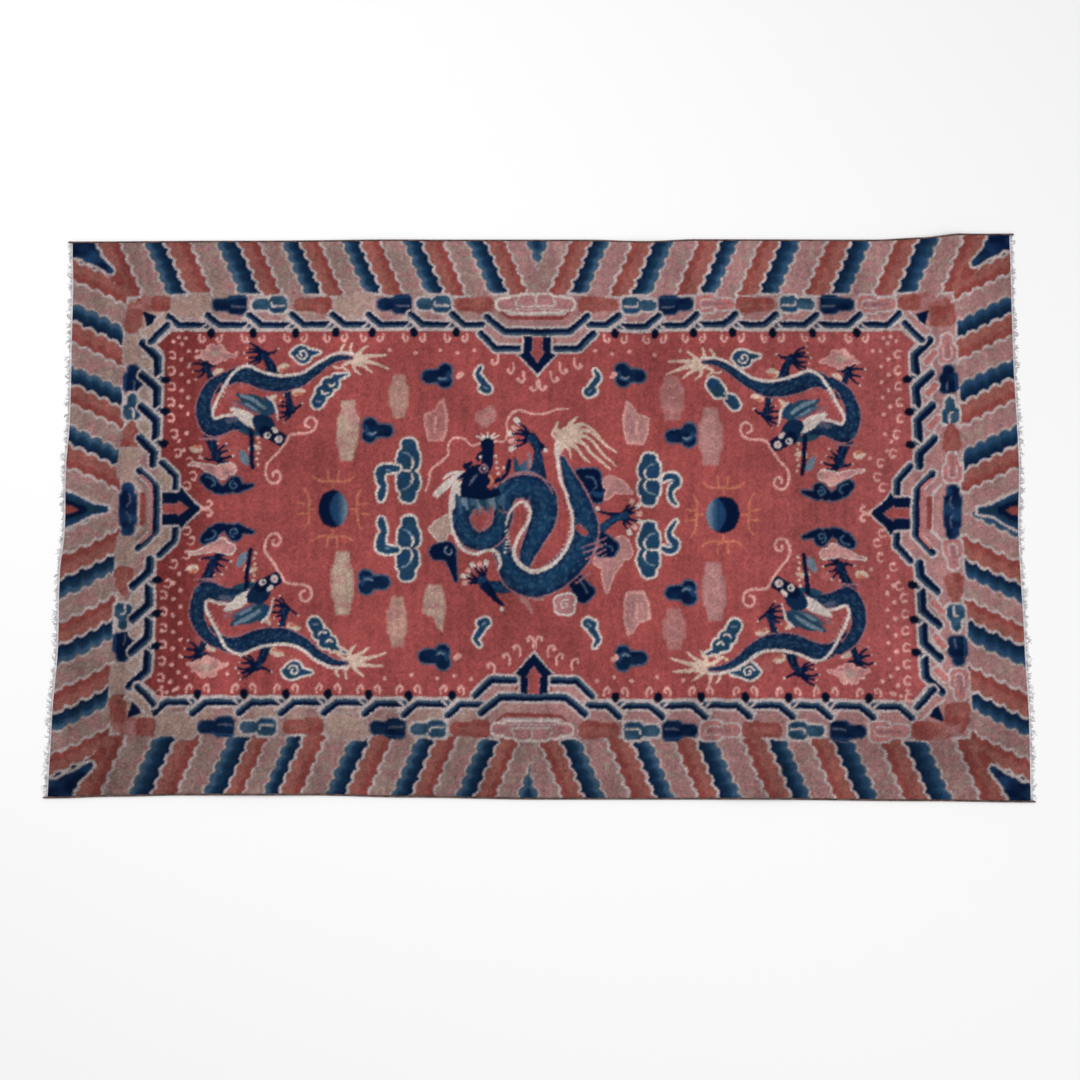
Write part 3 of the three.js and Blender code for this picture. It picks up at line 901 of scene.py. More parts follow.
for kind, x, y, flip_x, flip_y, tall in FIELD_SHAPES:
    sized = lambda part: [(px, py * tall, width * (1 + tall) / 2) for px, py, width in part]
    parts = [placed(sized(part), (flip_x, flip_y), (x, y)) for part in SHAPES[kind]]
    if kind == "bat":
        blob(parts, two_wools("night", "navy", blotches), rim="slate", rim_width=5)
    else:
        blob(parts, two_wools("teal", "blue", blotches), rim="cream", rim_width=6)
    for wool, line in DETAILS[kind]:
        stroke(placed(sized(line), (flip_x, flip_y), (x, y)), wool)
for x, y in [(-212, 350), (178, 352), (-212, -362), (178, -362)]:
    stroke([(x - 4, y - 3, 12), (x + 3, y + 3, 14)], "blush")
print("Field:", len(FIELD_PANELS), "panels and", len(FIELD_SHAPES), "clouds")

# %% [markdown]
# ## Two pearls
# A pearl with flames stands at each end of the field for the dragons to chase. It is an ellipse in
# two blues that meet in a crescent. Two overlapping ellipses would leave a hard edge, so the wool
# is chosen by how far each knot is to the dark side, and the flame is one drawing turned four ways.

# %% Pearls and flames
FLAME = [
    [(0, 0, 5), (18, 0, 6)],
    [(17, 0, 6), (15, 14, 6), (17, 38, 6), (28, 58, 4)],
    [(17, 0, 6), (15, -14, 6), (17, -38, 6), (28, -58, 4)],
    [(15, 12, 5), (44, 15, 5)],
    [(15, -12, 5), (44, -15, 5)],
]


def pearl(x, y, wide, tall, dark):
    """A pearl in two blues with a thin flame on each side: dark is the side that the deep blue is on."""
    dx, dy = (X - x) / wide, (Y - y) / tall
    rows, cols = np.nonzero(dx**2 + dy**2 <= 1)
    side = dx[rows, cols] * dark
    crescent = 0.22 - 0.62 * dy[rows, cols] ** 2
    pale_side = mix(WOOL["mist"], WOOL["blue"], ease(side, -0.95, -0.2))
    dye(rows, cols, mix(pale_side, WOOL["night"], ease(side, crescent - 0.08, crescent + 0.08)))
    for turn, reach in ((0, wide + 8), (90, tall + 6), (180, wide + 8), (270, tall + 6)):
        for line in FLAME:
            stroke(placed([(reach + a, b * 0.9, w) for a, b, w in line], shift=(x, y), turn=turn), "flame")


PEARLS = [(-527, 7, 37, 48, -1), (452, -5, 42, 46, 1)]
for row in PEARLS:
    pearl(*row)
print("Pearls:", len(PEARLS))

# %% [markdown]
# ## Dragons: scales, spines and paws
# Five dragons of the common old kind, four at the corners and one coiled in the middle. Each body
# is one wide stroke. Its scales could be single dots, but at one or two knots each they would look
# like noise, so the stroke's wool depends on how far along and how far across the body a knot is.

# %% Scales, spines and paws
SCALE_TONES = np.random.default_rng(19).uniform(0, 1, 997)


def scales(wool):
    """Body wool that darkens towards its edges, with a tone of its own for each scale."""
    def tint(length, left):
        row = np.floor(length / 6)
        lane = np.floor(left * 5 + 0.5 * (row % 2))
        tone = SCALE_TONES[(row * 31 + lane * 17).astype(int) % 997]
        base = mix(WOOL[wool], WOOL["night"], np.clip(np.abs(left) * 1.1 - 0.25, 0, 0.8))
        return mix(base, WOOL["steel"], 0.85 * tone**3)
    return tint


def comb(points, side, reach, gap, colour="cream", width=4.5):
    """Short teeth along one side of a line, as on a dragon's spine."""
    way = route(points)
    length = np.r_[0, np.cumsum(np.hypot(*np.diff(way[:, :2], axis=0).T))]
    heading = np.gradient(way[:, :2], axis=0)
    heading /= np.hypot(*heading.T)[:, None] + 1e-9
    for at in np.arange(gap, length[-1] - gap / 2, gap):
        k = int(np.searchsorted(length, at))
        x, y, _ = way[k]
        tx, ty = heading[k]
        tip = (
            x - side * ty * reach - tx * reach * 0.4, y + side * tx * reach - ty * reach * 0.4, width * 0.5
        )
        stroke([(x, y, width), tip], colour)


def paw(x, y, angle, place, fan=110, toes=5, reach=40, thumb=150, claws=6, palm=20):
    """A foot seen from above: dark toes that fan out and a thumb behind, each with a pale claw."""
    fingers = [(angle + fan * (k / (toes - 1) - 0.5), reach * (1.0 - 0.12 * (k % 2))) for k in range(toes)]
    if thumb:
        fingers.append((angle + thumb, reach * 0.8))
    for k, (a, length) in enumerate(fingers):
        c, s = math.cos(math.radians(a)), math.sin(math.radians(a))
        bend = 4 if a > angle else -4
        middle = (x + 0.55 * length * c - bend * s, y + 0.55 * length * s + bend * c, 7)
        tip = length - 0.5 * claws
        nail = [
            (x + tip * c, y + tip * s, 0.75 * claws),
            (x + (tip + 0.8 * claws) * c, y + (tip + 0.8 * claws) * s, claws),
        ]
        stroke(place(nail), "blush" if k % 2 else "cream")
        stroke(place([(x, y, 11), middle, (x + tip * c, y + tip * s, 4.5)]), "night")
    stroke(place([(x, y, palm)]), "night")


rosy_white = two_wools("blush", "rosy", blotches)


def flecks(wool, most):
    """Adds uneven flecks of one wool to what is already there."""
    return lambda rows, cols: mix(chart[rows, cols], WOOL[wool], most * np.clip(blotches[rows, cols], 0, 1))

# %% [markdown]
# ## The four corner dragons
# A weaver uses one chart for all four corners and mirrors it. The tables below give the far left
# dragon, each line as (x, y, width): its tuft, feet, body, mane and head, from the back forwards.

# %% Tables of the corner dragon
CORNER_TUFT = [
    [(-488, 393, 26), (-466, 390, 30)],
    [(-470, 392, 20), (-440, 400, 10), (-400, 402, 6)],
    [(-465, 388, 16), (-430, 382, 9), (-393, 368, 5)],
    [(-470, 382, 14), (-450, 370, 8), (-434, 357, 5)],
    [(-480, 380, 14), (-480, 366, 8), (-466, 352, 5)],
    [(-500, 382, 10), (-510, 374, 7), (-495, 360, 5)],
    [(-475, 400, 14), (-460, 415, 8), (-445, 426, 5)],
    [(-490, 404, 14), (-490, 420, 8), (-486, 436, 5)],
    [(-515, 404, 10), (-512, 422, 7), (-505, 430, 5)],
    [(-530, 372, 7), (-520, 368, 6), (-508, 372, 6)],
]

WHISKERS = [
    [
        (-652, 172), (-640, 194), (-618, 200), (-598, 201), (-580, 210), (-576, 228), (-588, 242),
        (-602, 236), (-603, 222), (-593, 216),
    ],
    [
        (-656, 168), (-676, 142), (-694, 120), (-697, 96), (-686, 75), (-668, 74), (-659, 88), (-665, 102),
        (-678, 100), (-678, 90),
    ],
]
MANE = [
    # the locks from the head outwards, each with its wool
    ([(-700, 262, 30), (-730, 280, 38), (-758, 292, 20), (-776, 302, 7)], "teal"),
    ([(-688, 258, 14), (-692, 280, 12), (-706, 292, 6)], "blue"),
    ([(-706, 266, 8), (-736, 286, 11), (-768, 301, 7)], "mist"),
    ([(-716, 252, 8), (-744, 266, 12), (-774, 284, 7)], "slate"),
    ([(-728, 262, 6), (-752, 276, 7)], "mist"),
    ([(-774, 266, 10), (-790, 282, 7)], "mauve"),
]
CORNER_FLAMES = [
    # x, y, angle
    (-832, 352, 40), (-668, 368, 20), (-628, 306, 10), (-868, 160, 170), (-735, 160, 0), (-690, 280, 60),
]
CORNER_PAWS = [
    dict(x=-853, y=374, angle=170, fan=120, reach=43, thumb=-150),
    dict(x=-711, y=408, angle=187, fan=90, toes=6, reach=47, thumb=-172),
    dict(x=-640, y=262, angle=180, fan=130, toes=6, reach=39, thumb=-150, palm=24),
    dict(x=-822, y=137, angle=20, fan=130, toes=6, reach=42, thumb=158),
]
CORNER_ARMS = [
    [(-852, 370, 15), (-843, 345, 18), (-832, 318, 30)],
    [(-708, 402, 16), (-694, 380, 22), (-688, 352, 28)],
    [(-641, 268, 18), (-648, 296, 15), (-652, 326, 24)],
    [(-824, 142, 20), (-832, 168, 22), (-842, 200, 34)],
]
CORNER_NECK = [
    (-742, 222, 26), (-790, 226, 34), (-836, 216, 46), (-858, 244, 38), (-860, 284, 34), (-842, 322, 28),
    (-810, 350, 18),
]
CORNER_TORSO = [
    (-806, 332, 18), (-786, 350, 34), (-752, 352, 42), (-706, 334, 40), (-655, 328, 38), (-606, 345, 32),
    (-560, 378, 24), (-520, 395, 14), (-488, 397, 7),
]
CORNER_BELLY = [
    (-770, 252, 7), (-806, 248, 8), (-832, 240, 8), (-838, 262, 8), (-820, 300, 8), (-800, 338, 8),
    (-778, 366, 8), (-748, 375, 8), (-704, 358, 8), (-655, 350, 8), (-610, 358, 8), (-566, 388, 8),
    (-524, 407, 7), (-484, 408, 7),
]
HEAD_BACK = [
    # points and wool, from the back forwards
    ([(-700, 294, 5), (-682, 276, 7), (-674, 244, 5)], "cream"),
    ([(-790, 264, 10), (-770, 252, 24), (-748, 238, 32), (-732, 224, 18)], "cream"),
    ([(-768, 208, 10), (-742, 202, 16), (-722, 200, 14)], "teal"),
    ([(-722, 234, 30), (-706, 224, 48), (-694, 210, 30)], "navy"),
    ([(-738, 206, 12), (-736, 170, 12), (-731, 112, 10)], "night"),
    ([(-758, 150, 14), (-750, 134, 20), (-744, 122, 10)], "mist"),
    *[([(-721 + 3 * (k % 2), 190 - 14 * k, 8)], "tuft") for k in range(6)],
]
HEAD_FRONT = [
    ([(-702, 204, 34), (-682, 196, 34), (-662, 184, 34)], "night"),
    ([(-698, 195, 18)], "white"),
    ([(-668, 185, 20)], "white"),
    ([(-696, 196, 7)], "night"),
    ([(-668, 186, 9)], "pink"),
    ([(-684, 214, 9), (-676, 206, 11)], "cream"),
]
CORNER_CLOUD = [
    [(-884, 122, 5), (-862, 119, 8), (-838, 110, 18), (-806, 96, 24)], [(-810, 106, 24), (-785, 110, 26)],
]
CORNER_PUFFS = [
    [(-848, 84, 26), (-834, 72, 34)], [(-820, 60, 26), (-806, 54, 18)],
    [(-790, 60, 26), (-774, 74, 32)], [(-770, 58, 22), (-732, 68, 8)],
]
CORNER_PETALS = [
    [(-856, 404, 26)], [(-842, 418, 26)], [(-822, 418, 24)], [(-812, 402, 24)], [(-834, 394, 26)],
    [(-866, 402, 8), (-880, 398, 5)], [(-800, 404, 8), (-784, 400, 5)],
]

# %% One corner dragon
def feet_and_flames(place):
    """What lies behind the body: tuft, flames at the joints, paws and arms."""
    for line in CORNER_TUFT:
        stroke(place(line), "tuft")
    for x, y, angle in CORNER_FLAMES:
        c, s = math.cos(math.radians(angle)), math.sin(math.radians(angle))
        stroke(
            place([(x, y, 20), (x + 10 * c - 3 * s, y + 10 * s + 3 * c, 16), (x + 22 * c, y + 22 * s, 6)]),
            "tuft",
        )
        stroke(place([(x + 4 * s, y - 4 * c, 9), (x + 14 * c + 6 * s, y + 14 * s - 6 * c, 6)]), "flame")
    for x, y, width in ((-782, 308, 70), (-790, 166, 70), (-640, 376, 60), (-850, 344, 50)):
        blob([place([(x, y, width)])], flecks("coral", 0.5))
    for row in CORNER_PAWS:
        paw(place=place, **row)
    for arm in CORNER_ARMS:
        stroke(place(arm), scales("night"))


def corner_dragon(flip, shift):
    """A dragon that walks round a corner of the field, drawn for the far left one and mirrored."""
    place = lambda points: placed(points, flip, shift)
    feet_and_flames(place)
    for line in (CORNER_TORSO, CORNER_NECK):
        stroke(place([(x, y, w + 7) for x, y, w in line]), "mauve")
    for line in (CORNER_TORSO, CORNER_NECK):
        stroke(place(line), scales("navy"))
    stroke(place([(-868, 186, 5), (-814, 186, 5)]), "mauve")
    stroke(place(CORNER_BELLY), "cream")
    comb(place([(-838, 262), (-820, 300), (-800, 338)]), -flip[0] * flip[1], 9, 11)
    stroke(place([(-800, 233, 12), (-780, 237, 14)]), "slate")
    for line, wool in MANE + HEAD_BACK + HEAD_FRONT:
        stroke(place(line), wool)
    for whisker in WHISKERS:
        stroke(place([(x, y, 7) for x, y in whisker]), "blush")
    blob([place(part) for part in CORNER_CLOUD], rosy_white, rim="cream", rim_width=3)
    blob([place(part) for part in CORNER_PUFFS], "night", rim="slate", rim_width=4)
    stroke(place(curl(-776, 68, 13, 1.1, 90, 1, 5)), "steel")
    stroke(place([(-846, 88, 5), (-832, 84, 6), (-824, 72, 6), (-832, 64, 5)]), "steel")
    blob([place(part) for part in CORNER_PETALS], rosy_white, rim="blush", rim_width=3)
    stroke(place([(-840, 408, 18), (-830, 408, 18)]), "beige")


CORNERS = [((1, 1), (0, 0)), ((-1, 1), (-80, -13)), ((1, -1), (2, 16)), ((-1, -1), (-76, 8))]
for flip, shift in CORNERS:
    corner_dragon(flip, shift)
print("Corner dragons:", len(CORNERS))

# %% [markdown]
# ## The middle dragon
# The middle dragon is coiled round itself in three turns, so what lies over what matters more than
# on the others. The weaver sees to that knot by knot. Here the tables are painted in order: the
# clouds behind it, the tuft and legs, the turns of the body, the belly line, and the head last.

# %% Clouds behind it and its legs
MIDDLE_TUFT = [
    [(36, 150, 18), (42, 176, 30), (56, 196, 46)],
    [(40, 200, 16), (30, 216, 10), (36, 232, 5)],
    [(34, 190, 12), (22, 200, 8), (24, 214, 4)],
    [(58, 206, 22), (68, 226, 12), (84, 244, 5)],
    [(66, 212, 20), (98, 226, 9), (120, 214, 7), (142, 194, 4)],
    [(74, 206, 20), (108, 210, 9), (140, 188, 8), (162, 168, 7), (184, 154, 4)],
    [(74, 198, 20), (108, 192, 9), (134, 168, 8), (156, 142, 7), (182, 120, 4)],
    [(70, 188, 20), (98, 176, 9), (120, 152, 8), (142, 134, 7), (168, 110, 4)],
    [(62, 180, 18), (84, 162, 8), (100, 142, 7), (116, 128, 4)],
    [(52, 178, 14), (64, 158, 7), (68, 140, 4)],
]
MIDDLE_CLOUDS = [
    # fill, rim, rim width, strokes of the cloud, then the points and wool of each scroll on it
    ("beige", "cream", 3, [[(-262, -38, 30), (-236, -30, 46)], [(-282, -42, 8), (-255, -55, 34)]], []),
    (
        "night", "slate", 3, [[(-262, -100, 40), (-238, -98, 46)], [(-228, -110, 28), (-214, -172, 8)]],
        [(curl(-232, -98, 14, 0.8, 120, 1, 4), "mist")],
    ),
    (
        "night", "slate", 4,
        [[(96, 92, 40), (124, 92, 42)], [(92, 74, 34), (128, 70, 44)], [(136, 44, 36), (150, 48, 26)]],
        [
            ([(108, 92, 5), (126, 88, 6), (134, 70, 5), (126, 60, 4)], "steel"),
            ([(124, 52, 10), (140, 46, 14), (152, 52, 8)], "blue"),
        ],
    ),
    (
        "pink", "blush", 3, [[(168, 76, 34), (188, 70, 34), (224, 54, 4)], [(166, 52, 18), (160, 40, 10)]],
        [],
    ),
    (
        "pink", "blush", 3,
        [
            [(196, -80, 42), (208, -98, 34)],
            [(182, -118, 40), (166, -150, 28), (160, -198, 5)],
            [(144, -120, 26), (160, -124, 34)],
        ],
        [],
    ),
    (
        "night", "slate", 4, [[(152, -62, 24), (174, -84, 34)], [(146, -98, 22), (174, -98, 22)]],
        [([(160, -80, 4), (174, -84, 5), (178, -94, 4)], "steel")],
    ),
    (
        "night", "slate", 4, [[(86, -170, 36), (98, -190, 44)], [(118, -196, 26), (98, -208, 34)]],
        [([(92, -166, 5), (104, -182, 6), (112, -200, 5)], "steel")],
    ),
    (
        "rosy", "cream", 5, [[(46, -222, 28), (66, -218, 30)], [(46, -238, 26), (64, -240, 28)]],
        [(curl(56, -230, 13, 1.0, 60, 1, 4), "cream")],
    ),
    (
        "pink", None, 0,
        [[(-50, -214, 10), (-40, -226, 14), (-26, -250, 5)], [(-36, -212, 6), (0, -216, 10)]], [],
    ),
    (
        soft("pink", 0.75), None, 0,
        [[(-158, 242, 36), (-140, 246, 42)], [(-150, 228, 28)], [(-134, 262, 22)]], [],
    ),
]
MIDDLE_PAWS = [
    dict(x=-32, y=194, angle=172, fan=80, toes=5, reach=54, claws=14),
    dict(x=202, y=-4, angle=-6, fan=130, toes=6, reach=44, claws=13),
    dict(x=-150, y=-172, angle=132, fan=110, toes=6, reach=44, claws=13),
]
MIDDLE_LEGS = [
    ([(4, 162, 12), (-14, 176, 16), (-30, 192, 24)], "night"),
    ([(5, 160, 11)], "cream"),
    ([(138, 6, 5), (170, -2, 10), (204, -6, 20)], "night"),
    ([(137, 12, 11)], "cream"),
    ([(-30, 190, 22), (-16, 160, 18), (-12, 120, 32), (-16, 90, 48)], scales("navy")),
    ([(-34, 96, 26), (-52, 112, 20), (-44, 130, 8)], "steel"),
    ([(-52, 92, 20), (-66, 112, 16), (-72, 138, 6)], "teal"),
    ([(-32, 120, 8), (-36, 150, 5)], "mist"),
    ([(206, -6, 20), (180, -14, 18), (150, -36, 22), (116, -60, 40)], scales("indigo")),
    ([(-146, -172, 24), (-138, -184, 28), (-104, -186, 30), (-70, -180, 36)], scales("indigo")),
    ([(-138, -186, 26), (-118, -212, 16), (-98, -230, 7)], "night"),
    ([(-100, -240, 12)], "cream"),
]

# %% Its body and belly line
MIDDLE_NECK = [
    (-128, 44, 44), (-186, 26, 44), (-206, -16, 42), (-186, -60, 46),
    (-146, -72, 48), (-112, -44, 46), (-100, 0, 44), (-108, 40, 44),
]
MIDDLE_ARCH = [
    (-96, 20, 34), (-84, 58, 50), (-42, 66, 60), (-2, 42, 66),
    (2, -8, 66), (-14, -52, 54), (-34, -96, 40), (-40, -128, 22),
]
MIDDLE_TAIL = [
    (-112, -60, 40), (-92, -112, 44), (-66, -160, 60), (-16, -178, 64), (42, -152, 66),
    (90, -98, 68), (106, -36, 64), (92, 26, 50), (68, 84, 34), (46, 138, 12),
]
MIDDLE_BELLY = [
    # the line round the outside of the coil, and the one inside its loop
    [
        (-212, 90, 10), (-230, 50, 9), (-232, 0, 8), (-224, -50, 8), (-200, -90, 9),
        (-166, -106, 8), (-140, -96, 8), (-116, -98, 9), (-104, -122, 9), (-108, -144, 6),
    ],
    [
        (-92, -30, 6), (-82, 6, 7), (-52, 28, 8), (-32, 8, 8), (-38, -24, 8), (-58, -56, 9),
        (-70, -92, 10), (-58, -124, 11), (-26, -146, 12), (18, -136, 11), (52, -104, 9),
        (70, -64, 9), (74, -16, 8), (60, 40, 8), (42, 90, 8), (34, 140, 9), (38, 176, 10),
    ],
]
MIDDLE_COMBS = [
    # points, side, reach, gap
    ([(-58, 22), (-40, 20), (-36, -16), (-58, -56)], -1, 7, 11),
    ([(18, -136), (52, -104), (70, -64), (74, -16), (66, 20)], 1, 9, 12),
    ([(-96, -36), (-90, -70), (-96, -110)], 1, 10, 9),
]

# %% Its head and whiskers
MIDDLE_MANE = [
    ([(-196, 98, 12), (-232, 78, 19), (-268, 46, 19)], "cream"),
    ([(-204, 100, 10), (-232, 98, 10), (-252, 84, 4)], "cream"),
    ([(-206, 66, 24), (-224, 36, 20), (-226, 12, 12)], "cream"),
]
MIDDLE_TEETH = [(-120, 142), (-118, 126), (-116, 112), (-112, 98), (-100, 114), (-108, 82)]
MIDDLE_HEAD = [
    ([(-112, 50, 18), (-104, 70, 12)], "teal"),
    ([(-186, 66, 44), (-176, 92, 48), (-164, 106, 34)], "night"),
    ([(-196, 50, 24), (-150, 46, 26), (-116, 52, 20)], "night"),
    ([(-150, 60, 46), (-142, 84, 36)], "night"),
    ([(-200, 96, 12), (-214, 84, 5)], "night"),
    ([(-196, 116, 14), (-182, 126, 8)], "night"),
    ([(-142, 178, 34), (-140, 150, 30), (-142, 118, 30)], "night"),
    ([(-158, 150, 12), (-164, 138, 14)], "night"),
    ([(-159, 142, 8)], "cream"),
    ([(-150, 112, 24)], "mauve"),
    ([(-150, 112, 15)], "night"),
    ([(-148, 113, 7)], "white"),
    ([(-168, 96, 5), (-178, 84, 7), (-186, 70, 4)], "slate"),
    ([(-130, 100, 9), (-124, 84, 15), (-132, 62, 9)], "brick"),
    ([(-134, 94, 7), (-128, 78, 8), (-138, 66, 5)], "flame"),
    *[([(x, y, 8)], "tuft") for x, y in MIDDLE_TEETH],
    ([(-86, 134, 10), (-90, 112, 14), (-104, 90, 14), (-118, 78, 10)], "night"),
    ([(-98, 106, 6), (-108, 92, 7)], "brick"),
]
MIDDLE_WHISKERS = [
    [
        (-160, 176, 6), (-182, 170, 6), (-204, 188, 6), (-232, 186, 6), (-242, 168, 6),
        (-240, 146, 6), (-262, 124, 6), (-284, 104, 6), (-288, 80, 6), (-296, 52, 5),
    ],
    [
        (-124, 180, 6), (-102, 182, 6), (-94, 196, 6), (-94, 226, 6), (-82, 252, 6), (-64, 262, 6),
        (-40, 254, 6), (-14, 250, 6), (12, 256, 6), (34, 264, 5), (62, 264, 4),
    ],
]

# %% The middle dragon on the chart
def behind_the_coil():
    """Clouds, tail tuft, paws and legs."""
    for fill, rim, rim_width, parts, scrolls in MIDDLE_CLOUDS:
        blob(parts, fill, rim, rim_width)
        for line, wool in scrolls:
            stroke(line, wool)
    for line in MIDDLE_TUFT:
        stroke(line, "tuft")
    for row in MIDDLE_PAWS:
        paw(place=lambda points: points, thumb=0, **row)
    for line, wool in MIDDLE_LEGS:
        stroke(line, wool)


def coil():
    """The body in three turns, then the belly line with its combs and the few folds on it."""
    for line in (MIDDLE_TAIL, MIDDLE_NECK, MIDDLE_ARCH):
        stroke([(x, y, w + 9) for x, y, w in line], "mauve")
        stroke(line, scales("indigo"))
    gap = [[(-160, -12, 28), (-152, -10, 30)], [(-158, -28, 22), (-156, -36, 12)]]
    blob(gap, "rose", rim="mauve", rim_width=3)
    for line in MIDDLE_BELLY:
        stroke(line, "cream")
    for row in MIDDLE_COMBS:
        comb(*row)
    stroke([(-102, 78, 5), (-80, 96, 5), (-44, 104, 5), (-8, 92, 5), (24, 50, 5)], "mauve")
    blob([[(88, -36, 14), (106, -50, 14)]], "rose", rim="mauve", rim_width=2)
    for k in range(4):
        fold = [(98 + 6 * k, -88 - 13 * k, 4), (130 + 2 * k, -76 - 14 * k, 4), (160, -62 - 14 * k, 3)]
        stroke(fold, "mauve")
    stroke([(86, -176, 5), (120, -150, 5)], "mauve")


def mane_and_head():
    """The mane falls in sixteen locks of uneven length, and the head lies on it."""
    for line, wool in MIDDLE_MANE:
        stroke(line, wool)
    for k in range(16):
        x = -216 + 7.6 * k
        hue = ("teal", "mist", "steel")[(5 * k + k // 3) % 3]
        fall = 34 + 12 * math.sin(2.1 * k)
        stroke([(x, 42 - 5 * (k % 3), 11), (x + 2, 22, 9), (x + 3, 42 - fall, 5)], hue)
    for line, wool in MIDDLE_HEAD:
        stroke(line, wool)
    for k in range(5):
        c, s = math.cos(math.radians(160 - 35 * k)), math.sin(math.radians(160 - 35 * k))
        stroke([(-142 + 14 * c, 186 + 8 * s, 7), (-142 + 30 * c, 190 + 14 * s, 4)], "cream")
    for whisker in MIDDLE_WHISKERS:
        stroke(whisker, "blush")


behind_the_coil()
coil()
mane_and_head()
print("Middle dragon:", len(MIDDLE_CLOUDS), "clouds,", len(MIDDLE_TUFT), "locks of tuft")

# %% [markdown]
# ## The weaver's hand, wear and painted shade
# A chart filled by functions is too exact. A weaver miscounts a knot here and there, the yarn
# changes between rows, and years of feet and dust leave lighter and darker patches. So each knot
# takes its colour from a place about a knot away, slow random fields lighten or darken it, and
# shade is painted in, darker towards the left end, the near edge and the left of the far edge.

# %% Uneven knots, worn wool and painted shade
def per_knot(sigma):
    """A random number for each knot, the same for its four squares."""
    return np.kron(rng.normal(0, sigma, (ROWS, COLUMNS)), np.ones((2, 2)))


def weave_unevenly():
    """Outlines wander by about a knot, because a weaver reads the chart by eye."""
    sway_x = 1.5 * wool_noise(34, 26, 31) + per_knot(0.5)
    sway_y = 1.5 * wool_noise(26, 34, 32) + per_knot(0.5)
    cols = np.clip(np.rint((X + sway_x + LONG / 2) / SQUARE - 0.5).astype(int), 0, 2 * COLUMNS - 1)
    rows = np.clip(np.rint((Y + sway_y + WIDE / 2) / SQUARE - 0.5).astype(int), 0, 2 * ROWS - 1)
    return chart[rows, cols]


def wear_and_painted_shade():
    """How light each knot is: streaks along the weft where the yarn changes, worn patches, and painted
    shade towards the left end, the near edge and the left of the far edge.
    """
    streaks = 0.035 * wool_noise(7, 60, 41) + 0.04 * wool_noise(14, 260, 42)
    streaks += 0.03 * wool_noise(70, 900, 43)
    patches = 0.05 * wool_noise(160, 120, 44) + 0.035 * wool_noise(34, 40, 45)
    knots = per_knot(0.075) + 0.06 * wool_noise(8, 8, 46)
    # painted shade: darker towards the left end (more on the near half), the near edge, and the far edge at
    # its left
    painted_edge_shade = 0.10 * ease(-X, 800, 980) * (0.6 + 0.4 * ease(-Y, -120, 60)) + 0.10 * ease(-Y, 380, 600)
    painted_edge_shade += 0.08 * ease(Y, 500, 640) * ease(-X, 300, 1000)
    return 1 + streaks + patches + knots - painted_edge_shade


chart = weave_unevenly() * wear_and_painted_shade()[..., None]
chart = chart.reshape(ROWS, 2, COLUMNS, 2, 3).mean((1, 3))
print("Chart woven:", COLUMNS * ROWS, "knots")

# %% [markdown]
# ## Where the cloth lies
# A loom never gives a true rectangle: the edges wander by some millimetres, and a slack long
# edge stands off the floor here and there. The same edge tables as the solid's give the outline.
# Each knot's place is a blend of the four edges, so that rows of knots follow them.

# %% Outline and swells
PILE_THICKNESS = 8.0
BACK_THICKNESS = 0.9
GAP = 0.3
EDGES = {
    "far": [
        (-1185, 693), (-800, 695), (-300, 698), (130, 698), (262, 693),
        (390, 699), (850, 698), (970, 703), (1080, 713), (1187, 714),
    ],
    "near": [
        (-1190, -704), (-1050, -700), (-880, -697), (-560, -697), (-330, -702),
        (0, -707), (500, -707), (950, -711), (1187, -714),
    ],
    "left": [
        (-704, -1190), (-520, -1187), (-340, -1179), (-150, -1182), (-50, -1175),
        (110, -1180), (230, -1175), (560, -1179), (693, -1185),
    ],
    "right": [
        (-714, 1187), (-520, 1190), (-340, 1186), (-60, 1181), (130, 1189), (400, 1185), (714, 1187),
    ],
}
SWELLS = [
    # x, side, height, along, across
    (262, 1, 4, 90, 70), (1035, 1, 6, 115, 100), (-420, 1, 2.5, 170, 60),
    (-700, -1, 3, 190, 70), (520, -1, 3.5, 160, 80),
]
ROUND_LONG, ROUND_WIDE = 2370.0, 1405.0


def edge_at(side, at):
    """Reads an edge table at many places, easing from row to row."""
    keys, values = np.array(EDGES[side], float).T
    at = np.clip(at, keys[0], keys[-1])
    row = np.clip(np.searchsorted(keys, at), 1, len(keys) - 1)
    t = (at - keys[row - 1]) / (keys[row] - keys[row - 1])
    return values[row - 1] + (values[row] - values[row - 1]) * t * t * (3 - 2 * t)


def edge_key(side, share):
    """The table's own coordinate at a share of that edge."""
    first, last = EDGES[side][0][0], EDGES[side][-1][0]
    return first + (last - first) * share


# the ends bow out a little past the solid's, by these millimetres at these shares of the width
END_DRIFT = {"left": [(0, 18), (0.35, 18), (0.6, 14), (1, 14)], "right": [(0, 9), (1, 10)]}
DRIFT_OVER = 0.04


def place(u, v):
    """Where a share (u along, v across) of the carpet lies, in the solid's own millimetres."""
    left, right = (edge_at(side, edge_key(side, v)) for side in ENDS)
    near, far = (edge_at(side, edge_key(side, u)) for side in ("near", "far"))
    drift_left, drift_right = (np.interp(v, *np.array(END_DRIFT[side]).T) for side in ENDS)
    drift = drift_right * np.clip(1 - (1 - u) / DRIFT_OVER, 0, 1) ** 2
    drift = drift - drift_left * np.clip(1 - u / DRIFT_OVER, 0, 1) ** 2
    return left + (right - left) * u + drift, near + (far - near) * v


def lift(x, v):
    """How high the cloth stands off the floor."""
    height = np.zeros(np.broadcast(x, v).shape)
    for at, side, rise, along, across in SWELLS:
        inward = (1 - v if side > 0 else v) * ROUND_WIDE
        a = np.clip(1 - np.abs(x - at) / along, 0, 1)
        b = np.clip(1 - inward / across, 0, 1)
        height += rise * a * a * (3 - 2 * a) * b * b * (3 - 2 * b)
    return height


node_low, node_high = (np.array(corner)[:2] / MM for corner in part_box("carpet"))
rim_u, rim_v = np.meshgrid(np.linspace(0, 1, 801), np.linspace(0, 1, 401))
outline = np.stack(place(rim_u, rim_v), -1).reshape(-1, 2)
CENTRE = (outline.min(0) + outline.max(0)) / 2 - (node_low + node_high) / 2
print("The solid was centred by", CENTRE.round(2), "mm")


